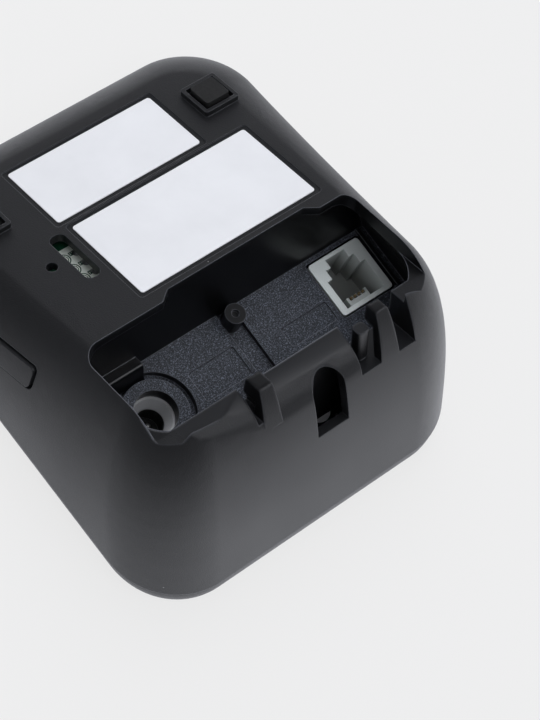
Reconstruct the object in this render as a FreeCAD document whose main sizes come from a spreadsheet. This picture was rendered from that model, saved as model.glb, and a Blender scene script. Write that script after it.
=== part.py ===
"""Charging base of a cordless phone: moulded two-part case with a cord pocket underneath.

Millimetres. The front of the base is towards -Y, the sockets are at the rear, +Z is up and
Z = 0 is the table under the rubber feet. The origin is midway across and midway front to rear.
The top, the floor of the cord pocket and the board behind it are parallel and slope up to the
rear; the floor of the case is flat.
"""
import FreeCAD, Part
import math
import os
import re
import Sketcher
from FreeCAD import Rotation, Vector

SIZES = {
    # Outline of the case at the seam between the two mouldings, seen from above
    "case_half_long": 45.0,
    "case_half_front": 44.4,
    "case_half_rear": 41.5,
    "front_corner": 17.0,
    "rear_corner": 16.5,
    "case_bottom": 2.0,
    "seam_rear_high": 47.75,
    "case_slope": 22.4,
    # How far the floor lies inside the seam outline, and the curve that joins them
    "inset_side": 11.8,
    "inset_front": 9.2,
    "inset_rear": 10.2,
    "corner_share": 0.68,
    "bowl_spread": 1.57,
    "bowl_rise": 3.04,
    "case_wall": 2.0,
    "floor_thick": 2.0,
    # Top moulding
    "cover_rise": 5.5,
    "cover_round": 4.2,
    "cover_step": 0.3,
    "cover_wall": 2.0,
    "skirt_deep": 2.5,
    "skirt_wall": 1.2,
    "skirt_gap": 0.3,
    # Cradle well that holds the handset
    "well_wide": 51.0,
    "well_long": 30.0,
    "well_corner": 7.0,
    "well_lean": 12.0,
    "well_middle": -15.0,
    "well_floor": 15.0,
    "well_wall": 1.8,
    # Cord pocket in the floor
    "pocket_front_back": 33.9,
    "pocket_rear_back": 10.3,
    "pocket_left": -11.1,
    "pocket_right": 22.8,
    "pocket_step": 2.0,
    "pocket_slant": 2.6,
    "pocket_ear": 3.8,
    "pocket_half": 33.2,
    "mouth_rear_back": 6.6,
    "pocket_mouth_corner": 4.0,
    "pocket_mouth_high": 7.5,
    "panel_front_high": 18.05,
    "panel_thick": 2.0,
    "partition_thick": 1.5,
    "shelf_high": 7.5,
    "shelf_thick": 2.0,
    "scoop_left": -28.0,
    "scoop_low_left": -10.0,
    "scoop_low_right": 22.5,
    "scoop_right": 25.4,
    "scoop_high": 3.4,
    "rim_back": 3.2,
    "rim_edge_back": 6.7,
    "rim_edge_high": 9.4,
    "rim_swell_back": 4.0,
    "rim_swell_high": 11.6,
    "rim_swell_round": 5.0,
    "rim_end_back": 2.85,
    "rim_end_high": 13.7,
    "rim_top_back": 1.5,
    "rim_top_high": 18.2,
    "sweep_past": 5.0,
    "sweep_narrow": 1.0,
    # Groove, post and plates on the pocket's panel
    "groove_left": 0.8,
    "groove_wide": 4.0,
    "groove_deep": 1.2,
    "post_radius": 2.2,
    "post_high": 3.6,
    "post_dimple": 0.8,
    "power_plate_left": -11.6,
    "power_plate_wide": 11.4,
    "power_plate_front": 6.9,
    "power_plate_long": 6.8,
    "line_plate_left": 10.3,
    "line_plate_wide": 11.8,
    "line_plate_front": 9.1,
    "line_plate_long": 4.5,
    "plate_sunk": 0.4,
    "plate_corner": 0.6,
    "ledge_right": -19.2,
    "ledge_out": 2.6,
    "ledge_high": 2.4,
    "ledge_round": 0.8,
    # Cord guides along the rear of the pocket
    "line_notch_left": 11.2,
    "finger_left": 16.1,
    "finger_right": 20.8,
    "finger_tip_left": 17.5,
    "finger_tip_right": 20.4,
    "line_notch_right": 25.0,
    "notch_bottom": 15.2,
    "finger_tip": 5.1,
    "finger_hook_back": 9.1,
    "finger_root_back": 4.4,
    "tip_edge_back": 6.2,
    "tip_round": 1.4,
    "tray_thick": 1.4,
    "peg_side": 2.8,
    "peg_high": 7.7,
    "peg_round": 0.9,
    "peg_gap": 0.5,
    "power_hook_left": -12.9,
    "power_hook_wide": 4.4,
    "power_hook_tip_left": -11.6,
    "power_hook_tip_wide": 3.6,
    "power_hook_tip": 5.7,
    "hook_thick": 3.6,
    "power_hook_back": 10.2,
    "power_notch_left": -13.8,
    "power_notch_wide": 2.6,
    "power_notch_bottom": 12.0,
    "keyhole_middle": 3.1,
    "keyhole_wide": 7.8,
    "keyhole_arch": 14.0,
    "keyhole_end": 23.4,
    # Telephone line socket
    "line_jack_left": 23.6,
    "line_jack_wide": 13.2,
    "line_jack_front": 1.3,
    "line_jack_long": 12.6,
    "line_jack_round": 0.7,
    "jack_gap": 0.4,
    "plug_wide": 10.0,
    "plug_thick": 6.7,
    "plug_rear_wall": 1.0,
    "plug_deep": 9.6,
    "latch_wide": 7.5,
    "latch_thick": 2.2,
    "latch_key_wide": 4.9,
    "latch_key_thick": 1.9,
    "wire_size": 0.46,
    "wire_pitch": 1.02,
    "wire_count": 4,
    "comb_wide": 5.2,
    "comb_thick": 2.3,
    "comb_back": 2.6,
    "frame_wide": 0.9,
    "frame_high": 0.8,
    # Power socket
    "power_jack_middle": -21.6,
    "power_jack_along": 10.06,
    "collar_hole": 4.5,
    "collar_radius": 6.9,
    "collar_ring": 8.3,
    "collar_deep": 1.7,
    "collar_back": 1.5,
    "power_jack_side": 11.4,
    "cone_mouth": 4.1,
    "cone_deep": 3.0,
    "power_hole": 2.9,
    "power_hole_end": 10.6,
    "power_pin": 0.8,
    "power_pin_tip": 8.2,
    "part_gap": 0.2,
    # Rear circuit board, parallel to the pocket's panel
    "rear_board_off": 12.0,
    "board_thick": 1.2,
    "rear_board_left": -33.0,
    "rear_board_right": 36.9,
    "rear_board_front": 1.4,
    "rear_board_long": 28.0,
    "rear_board_corner": 3.0,
    "board_post": 2.3,
    "rear_post_left": -6.0,
    "rear_post_left_along": 20.0,
    "rear_post_right": 9.0,
    "rear_post_right_along": 11.0,
    # Front circuit board, parallel to the floor
    "front_board_high": 6.4,
    "front_board_side_gap": 11.5,
    "front_board_front_gap": 9.0,
    "front_board_rear_gap": 3.5,
    "front_board_corner": 9.0,
    "board_cut_left": -22.0,
    "board_cut_wide": 10.0,
    "board_cut_front": -21.0,
    "board_cut_long": 5.9,
    "post_side_inset": 2.7,
    "post_front_inset": 10.5,
    "post_rear_inset": 5.0,
    "screw_shank": 1.0,
    "screw_bite": 2.0,
    "screw_head": 2.0,
    "screw_head_high": 1.3,
    "screw_cross": 0.5,
    "screw_cross_long": 2.2,
    # Windows and recesses in the floor
    "slot_left": -21.2,
    "slot_wide": 3.5,
    "slot_front": -13.5,
    "slot_long": 13.4,
    "slot_corner": 1.5,
    "reset_across": -24.6,
    "reset_along": -7.2,
    "reset_radius": 1.2,
    "serial_left": -16.6,
    "serial_side_gap": 25.5,
    "serial_front_gap": 12.3,
    "label_rib": 2.5,
    "rating_left": -15.3,
    "rating_side_gap": 16.4,
    "rating_front": -13.3,
    "rating_rear_gap": 2.3,
    "label_thick": 0.2,
    "label_sunk": 0.3,
    "label_margin": 1.0,
    "label_corner": 0.8,
    "foot_side_gap": 15.85,
    "foot_front_gap": 20.2,
    "foot_rim": 8.7,
    "foot_rim_high": 1.3,
    "foot_rim_wall": 0.8,
    "foot_pad": 5.8,
    "foot_corner": 0.6,
    "foot_sunk": 0.8,
    # Locator button in the left wall and its switch
    "button_front": -17.0,
    "button_long": 24.0,
    "button_low": 8.4,
    "button_high": 5.1,
    "button_corner": 1.3,
    "button_gap": 0.55,
    "button_proud": 0.4,
    "button_travel": 0.8,
    "flange_gap": 0.35,
    "flange_thick": 1.1,
    "flange_lap": 0.9,
    "stem_wide": 5.0,
    "stem_high": 2.6,
    "switch_side": 6.0,
    "switch_high": 4.0,
    "switch_side_gap": 10.8,
    "plunger_radius": 1.2,
    "plunger_out": 1.3,
    "plunger_in": 1.0,
    # Charging contacts in the well
    "contact_apart": 17.0,
    "contact_wide": 2.6,
    "contact_thick": 0.4,
    "contact_long": 8.0,
    "contact_up": 1.6,
    "contact_travel": 1.2,
    "contact_slot_gap": 0.5,
    "holder_side": 2.0,
    "holder_long": 11.0,
    "holder_deep": 4.2,
    "holder_floor": 0.7,
    # Parts on the boards
    "shield_wide": 20.0,
    "shield_long": 7.0,
    "shield_high": 1.4,
    "shield_left": 6.0,
    "shield_edge_gap": 2.5,
    "chip_side": 9.0,
    "chip_high": 0.9,
    "chip_left": -22.0,
    "chip_edge_gap": 2.0,
    "can_radius": 2.5,
    "can_high": 9.6,
    "can_across": 7.5,
    "can_edge_gap": 2.8,
    "relay_wide": 10.0,
    "relay_long": 7.0,
    "relay_high": 5.0,
    "relay_left": 11.5,
    "relay_front": 16.5,
}

# Places and lengths that follow the outline of the case at a clearance of their own
FOLLOWING = {
    "pocket_front": "(case_half_long - pocket_front_back)",
    "pocket_rear": "(case_half_long - pocket_rear_back)",
    "pocket_mouth_rear": "(case_half_long - mouth_rear_back)",
    "finger_hook": "(case_half_long - finger_hook_back)",
    "power_hook_reach": "(case_half_long - power_hook_back)",
    "tip_edge": "(case_half_long - tip_edge_back)",
    "front_board_half": "(case_half_front - front_board_side_gap)",
    "front_board_front": "(front_board_front_gap - case_half_long)",
    "front_board_rear": "(pocket_front - front_board_rear_gap)",
    "front_post_side": "(front_board_half - post_side_inset)",
    "front_post_front": "(front_board_front + post_front_inset)",
    "front_post_rear": "(front_board_rear - post_rear_inset)",
    "serial_front": "(serial_front_gap - case_half_long)",
    "serial_long": "(rating_front - label_rib - serial_front)",
    "serial_wide": "(case_half_front - serial_side_gap - serial_left)",
    "rating_long": "(pocket_front - rating_rear_gap - rating_front)",
    "rating_wide": "(case_half_front - rating_side_gap - rating_left)",
    "foot_middle": "(case_half_front - foot_side_gap)",
    "foot_along": "(foot_front_gap - case_half_long)",
    "switch_left": "(switch_side_gap - case_half_front)",
    "shield_front": "(front_board_front + shield_edge_gap)",
    "chip_front": "(front_board_front + chip_edge_gap)",
    "can_along": "(rear_board_front + rear_board_long - can_edge_gap)",
}

# Steps of the bowl's sections from the floor to the seam, and how they draw together at the seam
BOWL_STEPS = 8
BOWL_EASE = 1.52
# Quarter turns at which the rounded edge of the top moulding has a section
EDGE_TURNS = (0.0, 30.0, 55.0, 75.0, 90.0)

doc = FreeCAD.newDocument("charging_base")
sheet = doc.addObject("Spreadsheet::Sheet", "size")
for row, (alias, number) in enumerate(SIZES.items(), start=1):
    sheet.set(f"A{row}", alias)
    sheet.set(f"B{row}", str(number))
    sheet.setAlias(f"B{row}", alias)
doc.recompute()


def sized(formula):
    """Write the sheet's name before every size of a formula, and write out what follows others."""

    def written(found):
        name = found.group(0)
        return sized(FOLLOWING[name]) if name in FOLLOWING else "size." + name

    return re.sub(r"[a-z]+(_[a-z]+)+", written, str(formula))


def value(formula):
    """Present value of a formula, to start a sketch from."""
    return float(sheet.evalExpression(sized(formula)))


def bind(thing, **formulas):
    """Tie properties to formulas; a double underline stands for the dot in a path."""
    for path, formula in formulas.items():
        thing.setExpression(path.replace("__", "."), sized(formula))
    return thing


SLOPE = "case_slope * 1 deg"
LEAN = "-well_lean * 1 deg"
LEVEL = ("0", "0", "0 deg")
PANEL = ("pocket_front", "panel_front_high", SLOPE)
WELL = ("well_middle", "well_floor", LEAN)
# The seam's height over the panel, square to both
SEAM_OFF = (
    "((seam_rear_high - panel_front_high) * cos(case_slope * 1 deg)"
    " - (case_half_long - pocket_front) * sin(case_slope * 1 deg))"
)


def place(thing, frame, across="0", along="0", up="0"):
    """Put an object at a point of a frame that leans about the X axis."""
    start_along, start_up, angle = frame
    thing.Placement = FreeCAD.Placement(Vector(0, 0, 0), Rotation(Vector(1, 0, 0), 1))
    bind(
        thing,
        Placement__Rotation__Angle=angle,
        Placement__Base__x=across,
        Placement__Base__y=f"{start_along} + ({along}) * cos({angle}) - ({up}) * sin({angle})",
        Placement__Base__z=f"{start_up} + ({along}) * sin({angle}) + ({up}) * cos({angle})",
    )
    return thing


def block(name, frame, across, wide, along, long_, up, high):
    box = doc.addObject("Part::Box", name)
    bind(box, Length=wide, Width=long_, Height=high)
    return place(box, frame, across, along, up)


def rod(name, frame, across, along, up, radius, high):
    cylinder = doc.addObject("Part::Cylinder", name)
    bind(cylinder, Radius=radius, Height=high)
    return place(cylinder, frame, across, along, up)


def cone(name, frame, across, along, up, low_radius, high_radius, high):
    taper = doc.addObject("Part::Cone", name)
    bind(taper, Radius1=low_radius, Radius2=high_radius, Height=high)
    return place(taper, frame, across, along, up)


def cut(name, base, *tools):
    result = doc.addObject("Part::Cut", name)
    result.Base = base
    result.Tool = tools[0] if len(tools) == 1 else join(name + "_tools", *tools)
    return result


def join(name, *pieces):
    result = doc.addObject("Part::MultiFuse", name)
    result.Shapes = list(pieces)
    return result


def common(name, *pieces):
    result = doc.addObject("Part::MultiCommon", name)
    result.Shapes = list(pieces)
    return result


def outline(name, corners):
    """Closed sketch through corners of (across, up) or (across, up, rounding)."""
    sketch = doc.addObject("Sketcher::SketchObject", name)
    points = [Vector(value(corner[0]), value(corner[1]), 0) for corner in corners]
    total = len(points)
    trims = []
    for number, corner in enumerate(corners):
        before = (points[number] - points[number - 1]).normalize()
        after = (points[(number + 1) % total] - points[number]).normalize()
        turn = math.atan2(before.cross(after).z, before.dot(after))
        radius = value(corner[2]) if len(corner) > 2 else 0
        trims.append((before, after, turn, radius, radius * math.tan(abs(turn) / 2)))
    for number in range(total):
        following = (number + 1) % total
        start = points[number] + trims[number][1] * trims[number][4]
        end = points[following] - trims[following][0] * trims[following][4]
        sketch.addGeometry(Part.LineSegment(start, end), False)
    for number, corner in enumerate(corners):
        line_before = (number - 1) % total
        before, after, turn, radius, trim = trims[number]
        if radius == 0:
            sketch.addConstraint(Sketcher.Constraint("Coincident", line_before, 2, number, 1))
            pin(sketch, number, corner)
            continue
        left_turn = turn > 0
        inward = Vector(-before.y, before.x, 0) * (1 if left_turn else -1)
        centre = points[number] - before * trim + inward * radius
        first = points[number] - before * trim - centre
        last = points[number] + after * trim - centre
        if not left_turn:
            first, last = last, first
        first_angle = math.atan2(first.y, first.x)
        last_angle = math.atan2(last.y, last.x)
        if last_angle < first_angle:
            last_angle += 2 * math.pi
        circle = Part.Circle(centre, Vector(0, 0, 1), radius)
        arc = sketch.addGeometry(Part.ArcOfCircle(circle, first_angle, last_angle), False)
        arc_in, arc_out = (1, 2) if left_turn else (2, 1)
        sketch.addConstraint(Sketcher.Constraint("Tangent", line_before, 2, arc, arc_in))
        sketch.addConstraint(Sketcher.Constraint("Tangent", number, 1, arc, arc_out))
        size = sketch.addConstraint(Sketcher.Constraint("Radius", arc, radius))
        sketch.setExpression(f"Constraints[{size}]", sized(corner[2]))
        apex = sketch.addGeometry(Part.Point(points[number]), True)
        sketch.addConstraint(Sketcher.Constraint("PointOnObject", apex, 1, line_before))
        sketch.addConstraint(Sketcher.Constraint("PointOnObject", apex, 1, number))
        pin(sketch, apex, corner)
    return sketch


def pin(sketch, geometry, corner):
    """Hold the start of a line or a point at a corner's formulas."""
    for kind, formula in zip(("DistanceX", "DistanceY"), corner):
        rule = Sketcher.Constraint(kind, -1, 1, geometry, 1, value(formula))
        number = sketch.addConstraint(rule)
        sketch.setExpression(f"Constraints[{number}]", sized(formula))


def extrude(name, sketch, low, high):
    solid = doc.addObject("Part::Extrusion", name)
    solid.Base = sketch
    solid.DirMode = "Normal"
    solid.Solid = True
    return bind(solid, LengthFwd=high, LengthRev=f"-({low})")


def plate(name, frame, corners, low, high):
    """Prism on an outline that lies flat in a frame, between two heights."""
    sketch = place(outline(name + "_outline", corners), frame)
    return extrude(name, sketch, low, high)


def rounded(left, wide, front, long_, corner):
    """Corners of a rounded rectangle."""
    right = f"{left} + {wide}"
    rear = f"{front} + {long_}"
    return [(left, front, corner), (right, front, corner), (right, rear, corner), (left, rear, corner)]


def side_prism(name, corners, left, right):
    """Prism on an outline drawn in the side view, along Y and Z, from left to right."""
    sketch = outline(name + "_outline", corners)
    sketch.Placement = FreeCAD.Placement(Vector(0, 0, 0), Rotation(Vector(1, 1, 1), 120))
    return extrude(name, sketch, left, right)


def rear_prism(name, corners, front, rear):
    """Prism on an outline drawn in the rear view, along X and Z, from front to rear."""
    sketch = outline(name + "_outline", corners)
    sketch.Placement = FreeCAD.Placement(Vector(0, 0, 0), Rotation(Vector(1, 0, 0), 90))
    return extrude(name, sketch, f"-({rear})", f"-({front})")


def case_outline(name, inset_side, inset_front, inset_rear, corner_cut, start, stretch):
    """Tapered rounded outline of the case, drawn inside the seam's by the given insets."""
    half_front = f"case_half_front - {inset_side}"
    half_rear = f"case_half_rear - {inset_side}"
    front = f"(-case_half_long + {inset_front} - {start}) / {stretch}"
    rear = f"(case_half_long - {inset_rear} - {start}) / {stretch}"
    round_front = f"front_corner - {corner_cut}"
    round_rear = f"rear_corner - {corner_cut}"
    return outline(name, [
        (f"-({half_front})", front, round_front),
        (half_front, front, round_front),
        (half_rear, rear, round_rear),
        (f"-({half_rear})", rear, round_rear),
    ])


def bowl(name, skin, ground):
    """Solid of the lower case, a skin inside its outer face: a fan of sections that turn about
    the line where the seam's plane meets the ground plane."""
    hinge = f"(case_half_long - (seam_rear_high - ({ground})) / tan({SLOPE}))"
    sections = []
    for number in range(BOWL_STEPS + 1):
        turn = 90 * (1 - (1 - number / BOWL_STEPS) ** BOWL_EASE)
        left = f"(1 - pow(sin({turn:.4f} deg); 2 / bowl_spread))"
        rise = f"(1 - pow(cos({turn:.4f} deg); 2 / bowl_rise))"
        steep = f"atan({rise} * tan({SLOPE}))"
        inset = f"(inset_side * {left} + {skin})"
        inset_front = f"(inset_front * {left} + {skin})"
        inset_rear = f"(inset_rear * {left} + {skin})"
        corner_cut = f"(corner_share * inset_side * {left} + {skin})"
        sketch = case_outline(
            f"{name}_section_{number}", inset, inset_front, inset_rear, corner_cut,
            hinge, f"cos({steep})",
        )
        sketch.Placement = FreeCAD.Placement(Vector(0, 0, 0), Rotation(Vector(1, 0, 0), 1))
        bind(
            sketch,
            Placement__Rotation__Angle=steep,
            Placement__Base__y=hinge,
            Placement__Base__z=ground,
        )
        sections.append(sketch)
    return loft(name, sections)


def loft(name, sections):
    solid = doc.addObject("Part::Loft", name)
    solid.Sections = sections
    solid.Solid = True
    solid.Ruled = False
    return solid


def sloped_outline(name, inset, up):
    """Outline of the case parallel to the seam, at a height over the panel."""
    start = f"(pocket_front - {up} * sin({SLOPE}))"
    sketch = case_outline(name, inset, inset, inset, inset, start, f"cos({SLOPE})")
    return place(sketch, PANEL, "0", "0", up)


def lid(name, skin):
    """Solid of the top moulding, a skin inside its outer face, over the seam."""
    sections = []
    for number, turn in enumerate(EDGE_TURNS):
        inset = f"(cover_step + {skin} + (cover_round - {skin}) * (1 - cos({turn} deg)))"
        up = f"({SEAM_OFF} + (cover_rise - {skin}) * sin({turn} deg))"
        sections.append(sloped_outline(f"{name}_section_{number}", inset, up))
    return loft(name, sections)


def mirrored(name, piece):
    copy = doc.addObject("Part::Mirroring", name)
    copy.Source = piece
    copy.Normal = Vector(1, 0, 0)
    return copy


CASE_SIDES = ("-2 * case_half_front", "4 * case_half_front")
PANEL_BACK = f"panel_thick / cos({SLOPE})"


def on_panel(along):
    """Height of the panel's face at a distance from the front of the case."""
    return f"(panel_front_high + ({along} - pocket_front) * tan({SLOPE}))"


case_outside = bowl("case_outside", "0", "case_bottom")
case_inside = bowl("case_inside", "case_wall", "(case_bottom + floor_thick)")

# Lower case: bowl, then the folded wall that forms the pocket's front, floor, rear and shelf
case_shell = cut("case_shell", case_outside, case_inside)
partition_front = "pocket_front - partition_thick"
partition_rear = "pocket_rear + partition_thick"
shelf_back = "shelf_high + rim_back"
pocket_fold = side_prism("pocket_fold", [
    (partition_front, "case_bottom"),
    ("pocket_front", "case_bottom"),
    ("pocket_front", "panel_front_high"),
    ("pocket_rear", on_panel("pocket_rear")),
    ("pocket_rear", "shelf_high"),
    ("case_half_long", "shelf_high"),
    ("case_half_long", f"{shelf_back} + rim_edge_back * tan({SLOPE})"),
    (partition_rear, shelf_back),
    (partition_rear, f"{on_panel(partition_rear)} + {PANEL_BACK}"),
    (partition_front, f"{on_panel(partition_front)} + {PANEL_BACK}"),
], "-case_half_front", "case_half_front")
tray_left = "line_notch_left - tray_thick"
tray_wide = "line_notch_right - line_notch_left + 2 * tray_thick"
line_tray = block(
    "line_tray", LEVEL, tray_left, tray_wide,
    "pocket_rear", "case_half_long - pocket_rear",
    "shelf_high", "notch_bottom + tray_thick - shelf_high",
)
power_tray = block(
    "power_tray", LEVEL, "power_notch_left - tray_thick",
    "power_hook_left + power_hook_wide - power_notch_left + 2 * tray_thick",
    "pocket_rear", "case_half_long - pocket_rear",
    "shelf_high", "power_notch_bottom + tray_thick - shelf_high",
)
board_posts = []
for side in (-1, 1):
    for row, along in (("front", "front_post_front"), ("rear", "front_post_rear")):
        board_posts.append(rod(
            f"front_board_post_{row}_{side + 1}", LEVEL, f"{side} * front_post_side", along,
            "case_bottom", "board_post", "front_board_high - case_bottom",
        ))
REAR_POSTS = (
    ("rear_post_left", "rear_post_left_along"),
    ("rear_post_right", "rear_post_right_along"),
)
for number, (across, along) in enumerate(REAR_POSTS):
    board_posts.append(rod(
        f"rear_board_post_{number}", PANEL, across, along,
        "groove_deep", "board_post", "rear_board_off - groove_deep",
    ))
collar_back = rod(
    "collar_back", PANEL, "power_jack_middle", "power_jack_along",
    "groove_deep", "collar_ring + collar_back", "collar_deep + collar_back - groove_deep",
)
inner_walls = common(
    "inner_walls", case_outside,
    join("inner_forms", pocket_fold, line_tray, power_tray, collar_back, *board_posts),
)
case_body = join("case_body", case_shell, inner_walls)

# Openings cut into the case
mouth_rear = "pocket_mouth_rear"
left_step = "pocket_left - pocket_slant"
right_step = "pocket_right + pocket_slant"
mouth_step = "pocket_front + pocket_step"
pocket_mouth = plate("pocket_mouth", LEVEL, [
    ("pocket_left", "pocket_front", "label_corner"),
    ("pocket_right", "pocket_front", "label_corner"),
    (right_step, mouth_step, "label_corner"),
    ("pocket_half", mouth_step, "pocket_slant"),
    ("pocket_half", mouth_rear, "pocket_mouth_corner"),
    ("-pocket_half", mouth_rear, "pocket_mouth_corner"),
    ("-pocket_half", mouth_step, "pocket_ear"),
    (left_step, mouth_step, "label_corner"),
], "0", "pocket_mouth_high")
scoop_clear = "case_bottom - shelf_thick"
rim_scoop = rear_prism("rim_scoop", [
    ("scoop_left", scoop_clear),
    ("scoop_right + pocket_slant", scoop_clear),
    ("scoop_right", "scoop_high", "shelf_thick"),
    ("scoop_low_right", "shelf_high", "shelf_thick"),
    ("scoop_low_left", "shelf_high", "cover_round"),
    ("scoop_left", "scoop_high"),
], "pocket_rear", "case_half_long + case_wall")
RIM_ROLL = [
    ("pocket_rear - plate_sunk", "shelf_high + foot_corner / 2"),
    ("case_half_long - rim_edge_back", "rim_edge_high"),
    ("case_half_long - rim_swell_back", "rim_swell_high", "rim_swell_round"),
    ("case_half_long - rim_end_back", "rim_end_high", "rim_swell_round"),
    ("case_half_long - rim_top_back", "rim_top_high"),
    ("case_half_long + case_wall", "rim_top_high"),
    ("case_half_long + case_wall", "0"),
    ("pocket_rear - plate_sunk", "0"),
]
rim_roll = side_prism("rim_roll", RIM_ROLL, "scoop_low_left", "line_notch_left + plate_sunk")
sweep_long = "(scoop_low_left - scoop_left + sweep_past)"
sweep_drop = f"(shelf_high - scoop_high) * {sweep_long} / (scoop_low_left - scoop_left)"
rim_ends = []
for end, across, inward, drop in (
    ("right", "scoop_low_left", "0", "0"),
    ("left", "scoop_left - sweep_past", "sweep_narrow", sweep_drop),
):
    rim_end = outline(f"rim_end_{end}", RIM_ROLL)
    rim_end.Placement = FreeCAD.Placement(Vector(0, 0, 0), Rotation(Vector(1, 1, 1), 120))
    bind(
        rim_end, Placement__Base__x=across, Placement__Base__y=f"-({inward})",
        Placement__Base__z=f"-({drop})",
    )
    rim_ends.append(rim_end)
rim_sweep = loft("rim_sweep", rim_ends)
line_channel = block(
    "line_channel", LEVEL, "line_notch_left", "line_notch_right - line_notch_left",
    "pocket_rear - partition_thick", "case_half_long - pocket_rear + 2 * partition_thick",
    "0", "notch_bottom",
)
power_channel = block(
    "power_channel", LEVEL, "power_notch_left", "power_notch_wide",
    "pocket_rear - partition_thick", "case_half_long - pocket_rear + 2 * partition_thick",
    "0", "power_notch_bottom",
)
keyhole_front = "partition_thick + pocket_rear"
keyhole_arch = doc.addObject("Part::Cylinder", "keyhole_arch")
keyhole_arch.Placement = FreeCAD.Placement(Vector(0, 0, 0), Rotation(Vector(1, 0, 0), -90))
bind(
    keyhole_arch, Radius="keyhole_wide / 2", Height="case_half_long - pocket_rear",
    Placement__Base__x="keyhole_middle", Placement__Base__y=keyhole_front,
    Placement__Base__z="keyhole_arch",
)
keyhole_slot = block(
    "keyhole_slot", LEVEL, "keyhole_middle - keyhole_wide / 2", "keyhole_wide",
    keyhole_front, "case_half_long - pocket_rear",
    "keyhole_arch", "keyhole_end - keyhole_arch",
)
floor_slot = plate(
    "floor_slot", LEVEL,
    rounded("slot_left", "slot_wide", "slot_front", "slot_long", "slot_corner"),
    "0", "case_bottom + 2 * floor_thick",
)
reset_hole = rod(
    "reset_hole", LEVEL, "reset_across", "reset_along", "0",
    "reset_radius", "case_bottom + 2 * floor_thick",
)
label_recesses = []
for label in ("serial", "rating"):
    label_recesses.append(plate(
        f"{label}_recess", LEVEL,
        rounded(
            f"{label}_left - label_margin", f"({label}_wide + 2 * label_margin)",
            f"{label}_front - label_margin", f"({label}_long + 2 * label_margin)",
            "label_corner",
        ),
        "0", "case_bottom + label_sunk",
    ))
foot_recess = plate(
    "foot_recess", LEVEL,
    rounded(
        "foot_middle - foot_pad / 2 - skirt_gap / 2", "(foot_pad + skirt_gap)",
        "foot_along - foot_pad / 2 - skirt_gap / 2", "(foot_pad + skirt_gap)", "foot_corner",
    ),
    "0", "case_bottom + foot_sunk",
)
panel_groove = block(
    "panel_groove", PANEL, "groove_left", "groove_wide",
    "0", f"(pocket_rear - pocket_front) / cos({SLOPE})",
    "-groove_deep", "2 * groove_deep",
)
panel_plates = []
for label in ("power", "line"):
    panel_plates.append(plate(
        f"{label}_plate", PANEL,
        rounded(
            f"{label}_plate_left", f"{label}_plate_wide",
            f"{label}_plate_front", f"{label}_plate_long", "plate_corner",
        ),
        "-plate_sunk", "plate_sunk",
    ))
line_window = plate(
    "line_window", PANEL,
    rounded(
        "line_jack_left - jack_gap", "(line_jack_wide + 2 * jack_gap)",
        "line_jack_front - jack_gap", "(line_jack_long + 2 * jack_gap)", "line_jack_round",
    ),
    "-panel_thick", "2 * panel_thick",
)
collar_groove = cut(
    "collar_groove",
    rod(
        "collar_groove_outer", PANEL, "power_jack_middle", "power_jack_along",
        "-collar_deep", "collar_ring", "2 * collar_deep",
    ),
    rod(
        "collar_groove_inner", PANEL, "power_jack_middle", "power_jack_along",
        "-collar_deep", "collar_radius", "2 * collar_deep",
    ),
)
collar_bore = rod(
    "collar_bore", PANEL, "power_jack_middle", "power_jack_along",
    "-collar_deep", "collar_hole", "3 * (collar_deep + collar_back)",
)
button_window = side_prism(
    "button_window",
    rounded("button_front", "button_long", "button_low", "button_high", "button_corner"),
    "-2 * case_half_front", "-case_half_front / 2",
)
screw_holes = []
screw_sinks = "screw_bite + skirt_gap"
for side in (-1, 1):
    for row, along in (("front", "front_post_front"), ("rear", "front_post_rear")):
        screw_holes.append(rod(
            f"front_screw_hole_{row}_{side + 1}", LEVEL, f"{side} * front_post_side", along,
            f"front_board_high - ({screw_sinks})", "screw_shank", screw_sinks,
        ))
for number, (across, along) in enumerate(REAR_POSTS):
    screw_holes.append(rod(
        f"rear_screw_hole_{number}", PANEL, across, along,
        f"rear_board_off - ({screw_sinks})", "screw_shank", screw_sinks,
    ))
case_cut = cut(
    "case_cut", case_body, pocket_mouth, rim_scoop, rim_roll, rim_sweep, line_channel,
    power_channel, keyhole_arch, keyhole_slot, floor_slot, reset_hole, *label_recesses,
    panel_groove, *panel_plates, line_window, collar_groove, collar_bore, button_window,
    *screw_holes,
)

# What stands on the cut case: cord finger and hook, peg, post, ledge, socket frame, foot rims
finger_root = "notch_bottom + tray_thick / 2"
finger_profile = side_prism("finger_profile", [
    ("finger_hook", "finger_tip", "foot_corner"),
    ("tip_edge", "finger_tip", "tip_round"),
    ("case_half_long", finger_root),
    ("case_half_long - finger_root_back", finger_root),
    ("pocket_mouth_rear", "finger_tip + hook_thick", "foot_corner"),
    ("finger_hook", "finger_tip + hook_thick", "foot_corner"),
], "finger_left", "finger_right")
finger_taper = rear_prism("finger_taper", [
    ("finger_tip_left", "finger_tip", "foot_corner"),
    ("finger_tip_right", "finger_tip", "foot_corner"),
    ("finger_right", finger_root),
    ("finger_left", finger_root),
], "pocket_rear", "case_half_long")
finger = common("finger", case_outside, finger_profile, finger_taper)
hook_root = "power_notch_bottom + shelf_thick"
power_hook_profile = side_prism("power_hook_profile", [
    ("power_hook_reach", "power_hook_tip", "peg_round"),
    ("tip_edge", "power_hook_tip", "tip_round"),
    ("case_half_long", hook_root),
    ("pocket_mouth_rear", hook_root),
    ("pocket_mouth_rear", "power_hook_tip + hook_thick", "foot_corner"),
    ("power_hook_reach", "power_hook_tip + hook_thick", "foot_corner"),
], "power_hook_left", "power_hook_left + power_hook_wide")
power_hook_taper = rear_prism("power_hook_taper", [
    ("power_hook_tip_left", "power_hook_tip", "foot_corner"),
    ("power_hook_tip_left + power_hook_tip_wide", "power_hook_tip", "foot_corner"),
    ("power_hook_left + power_hook_wide", hook_root),
    ("power_hook_left", hook_root),
], "pocket_front", "case_half_long")
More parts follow.
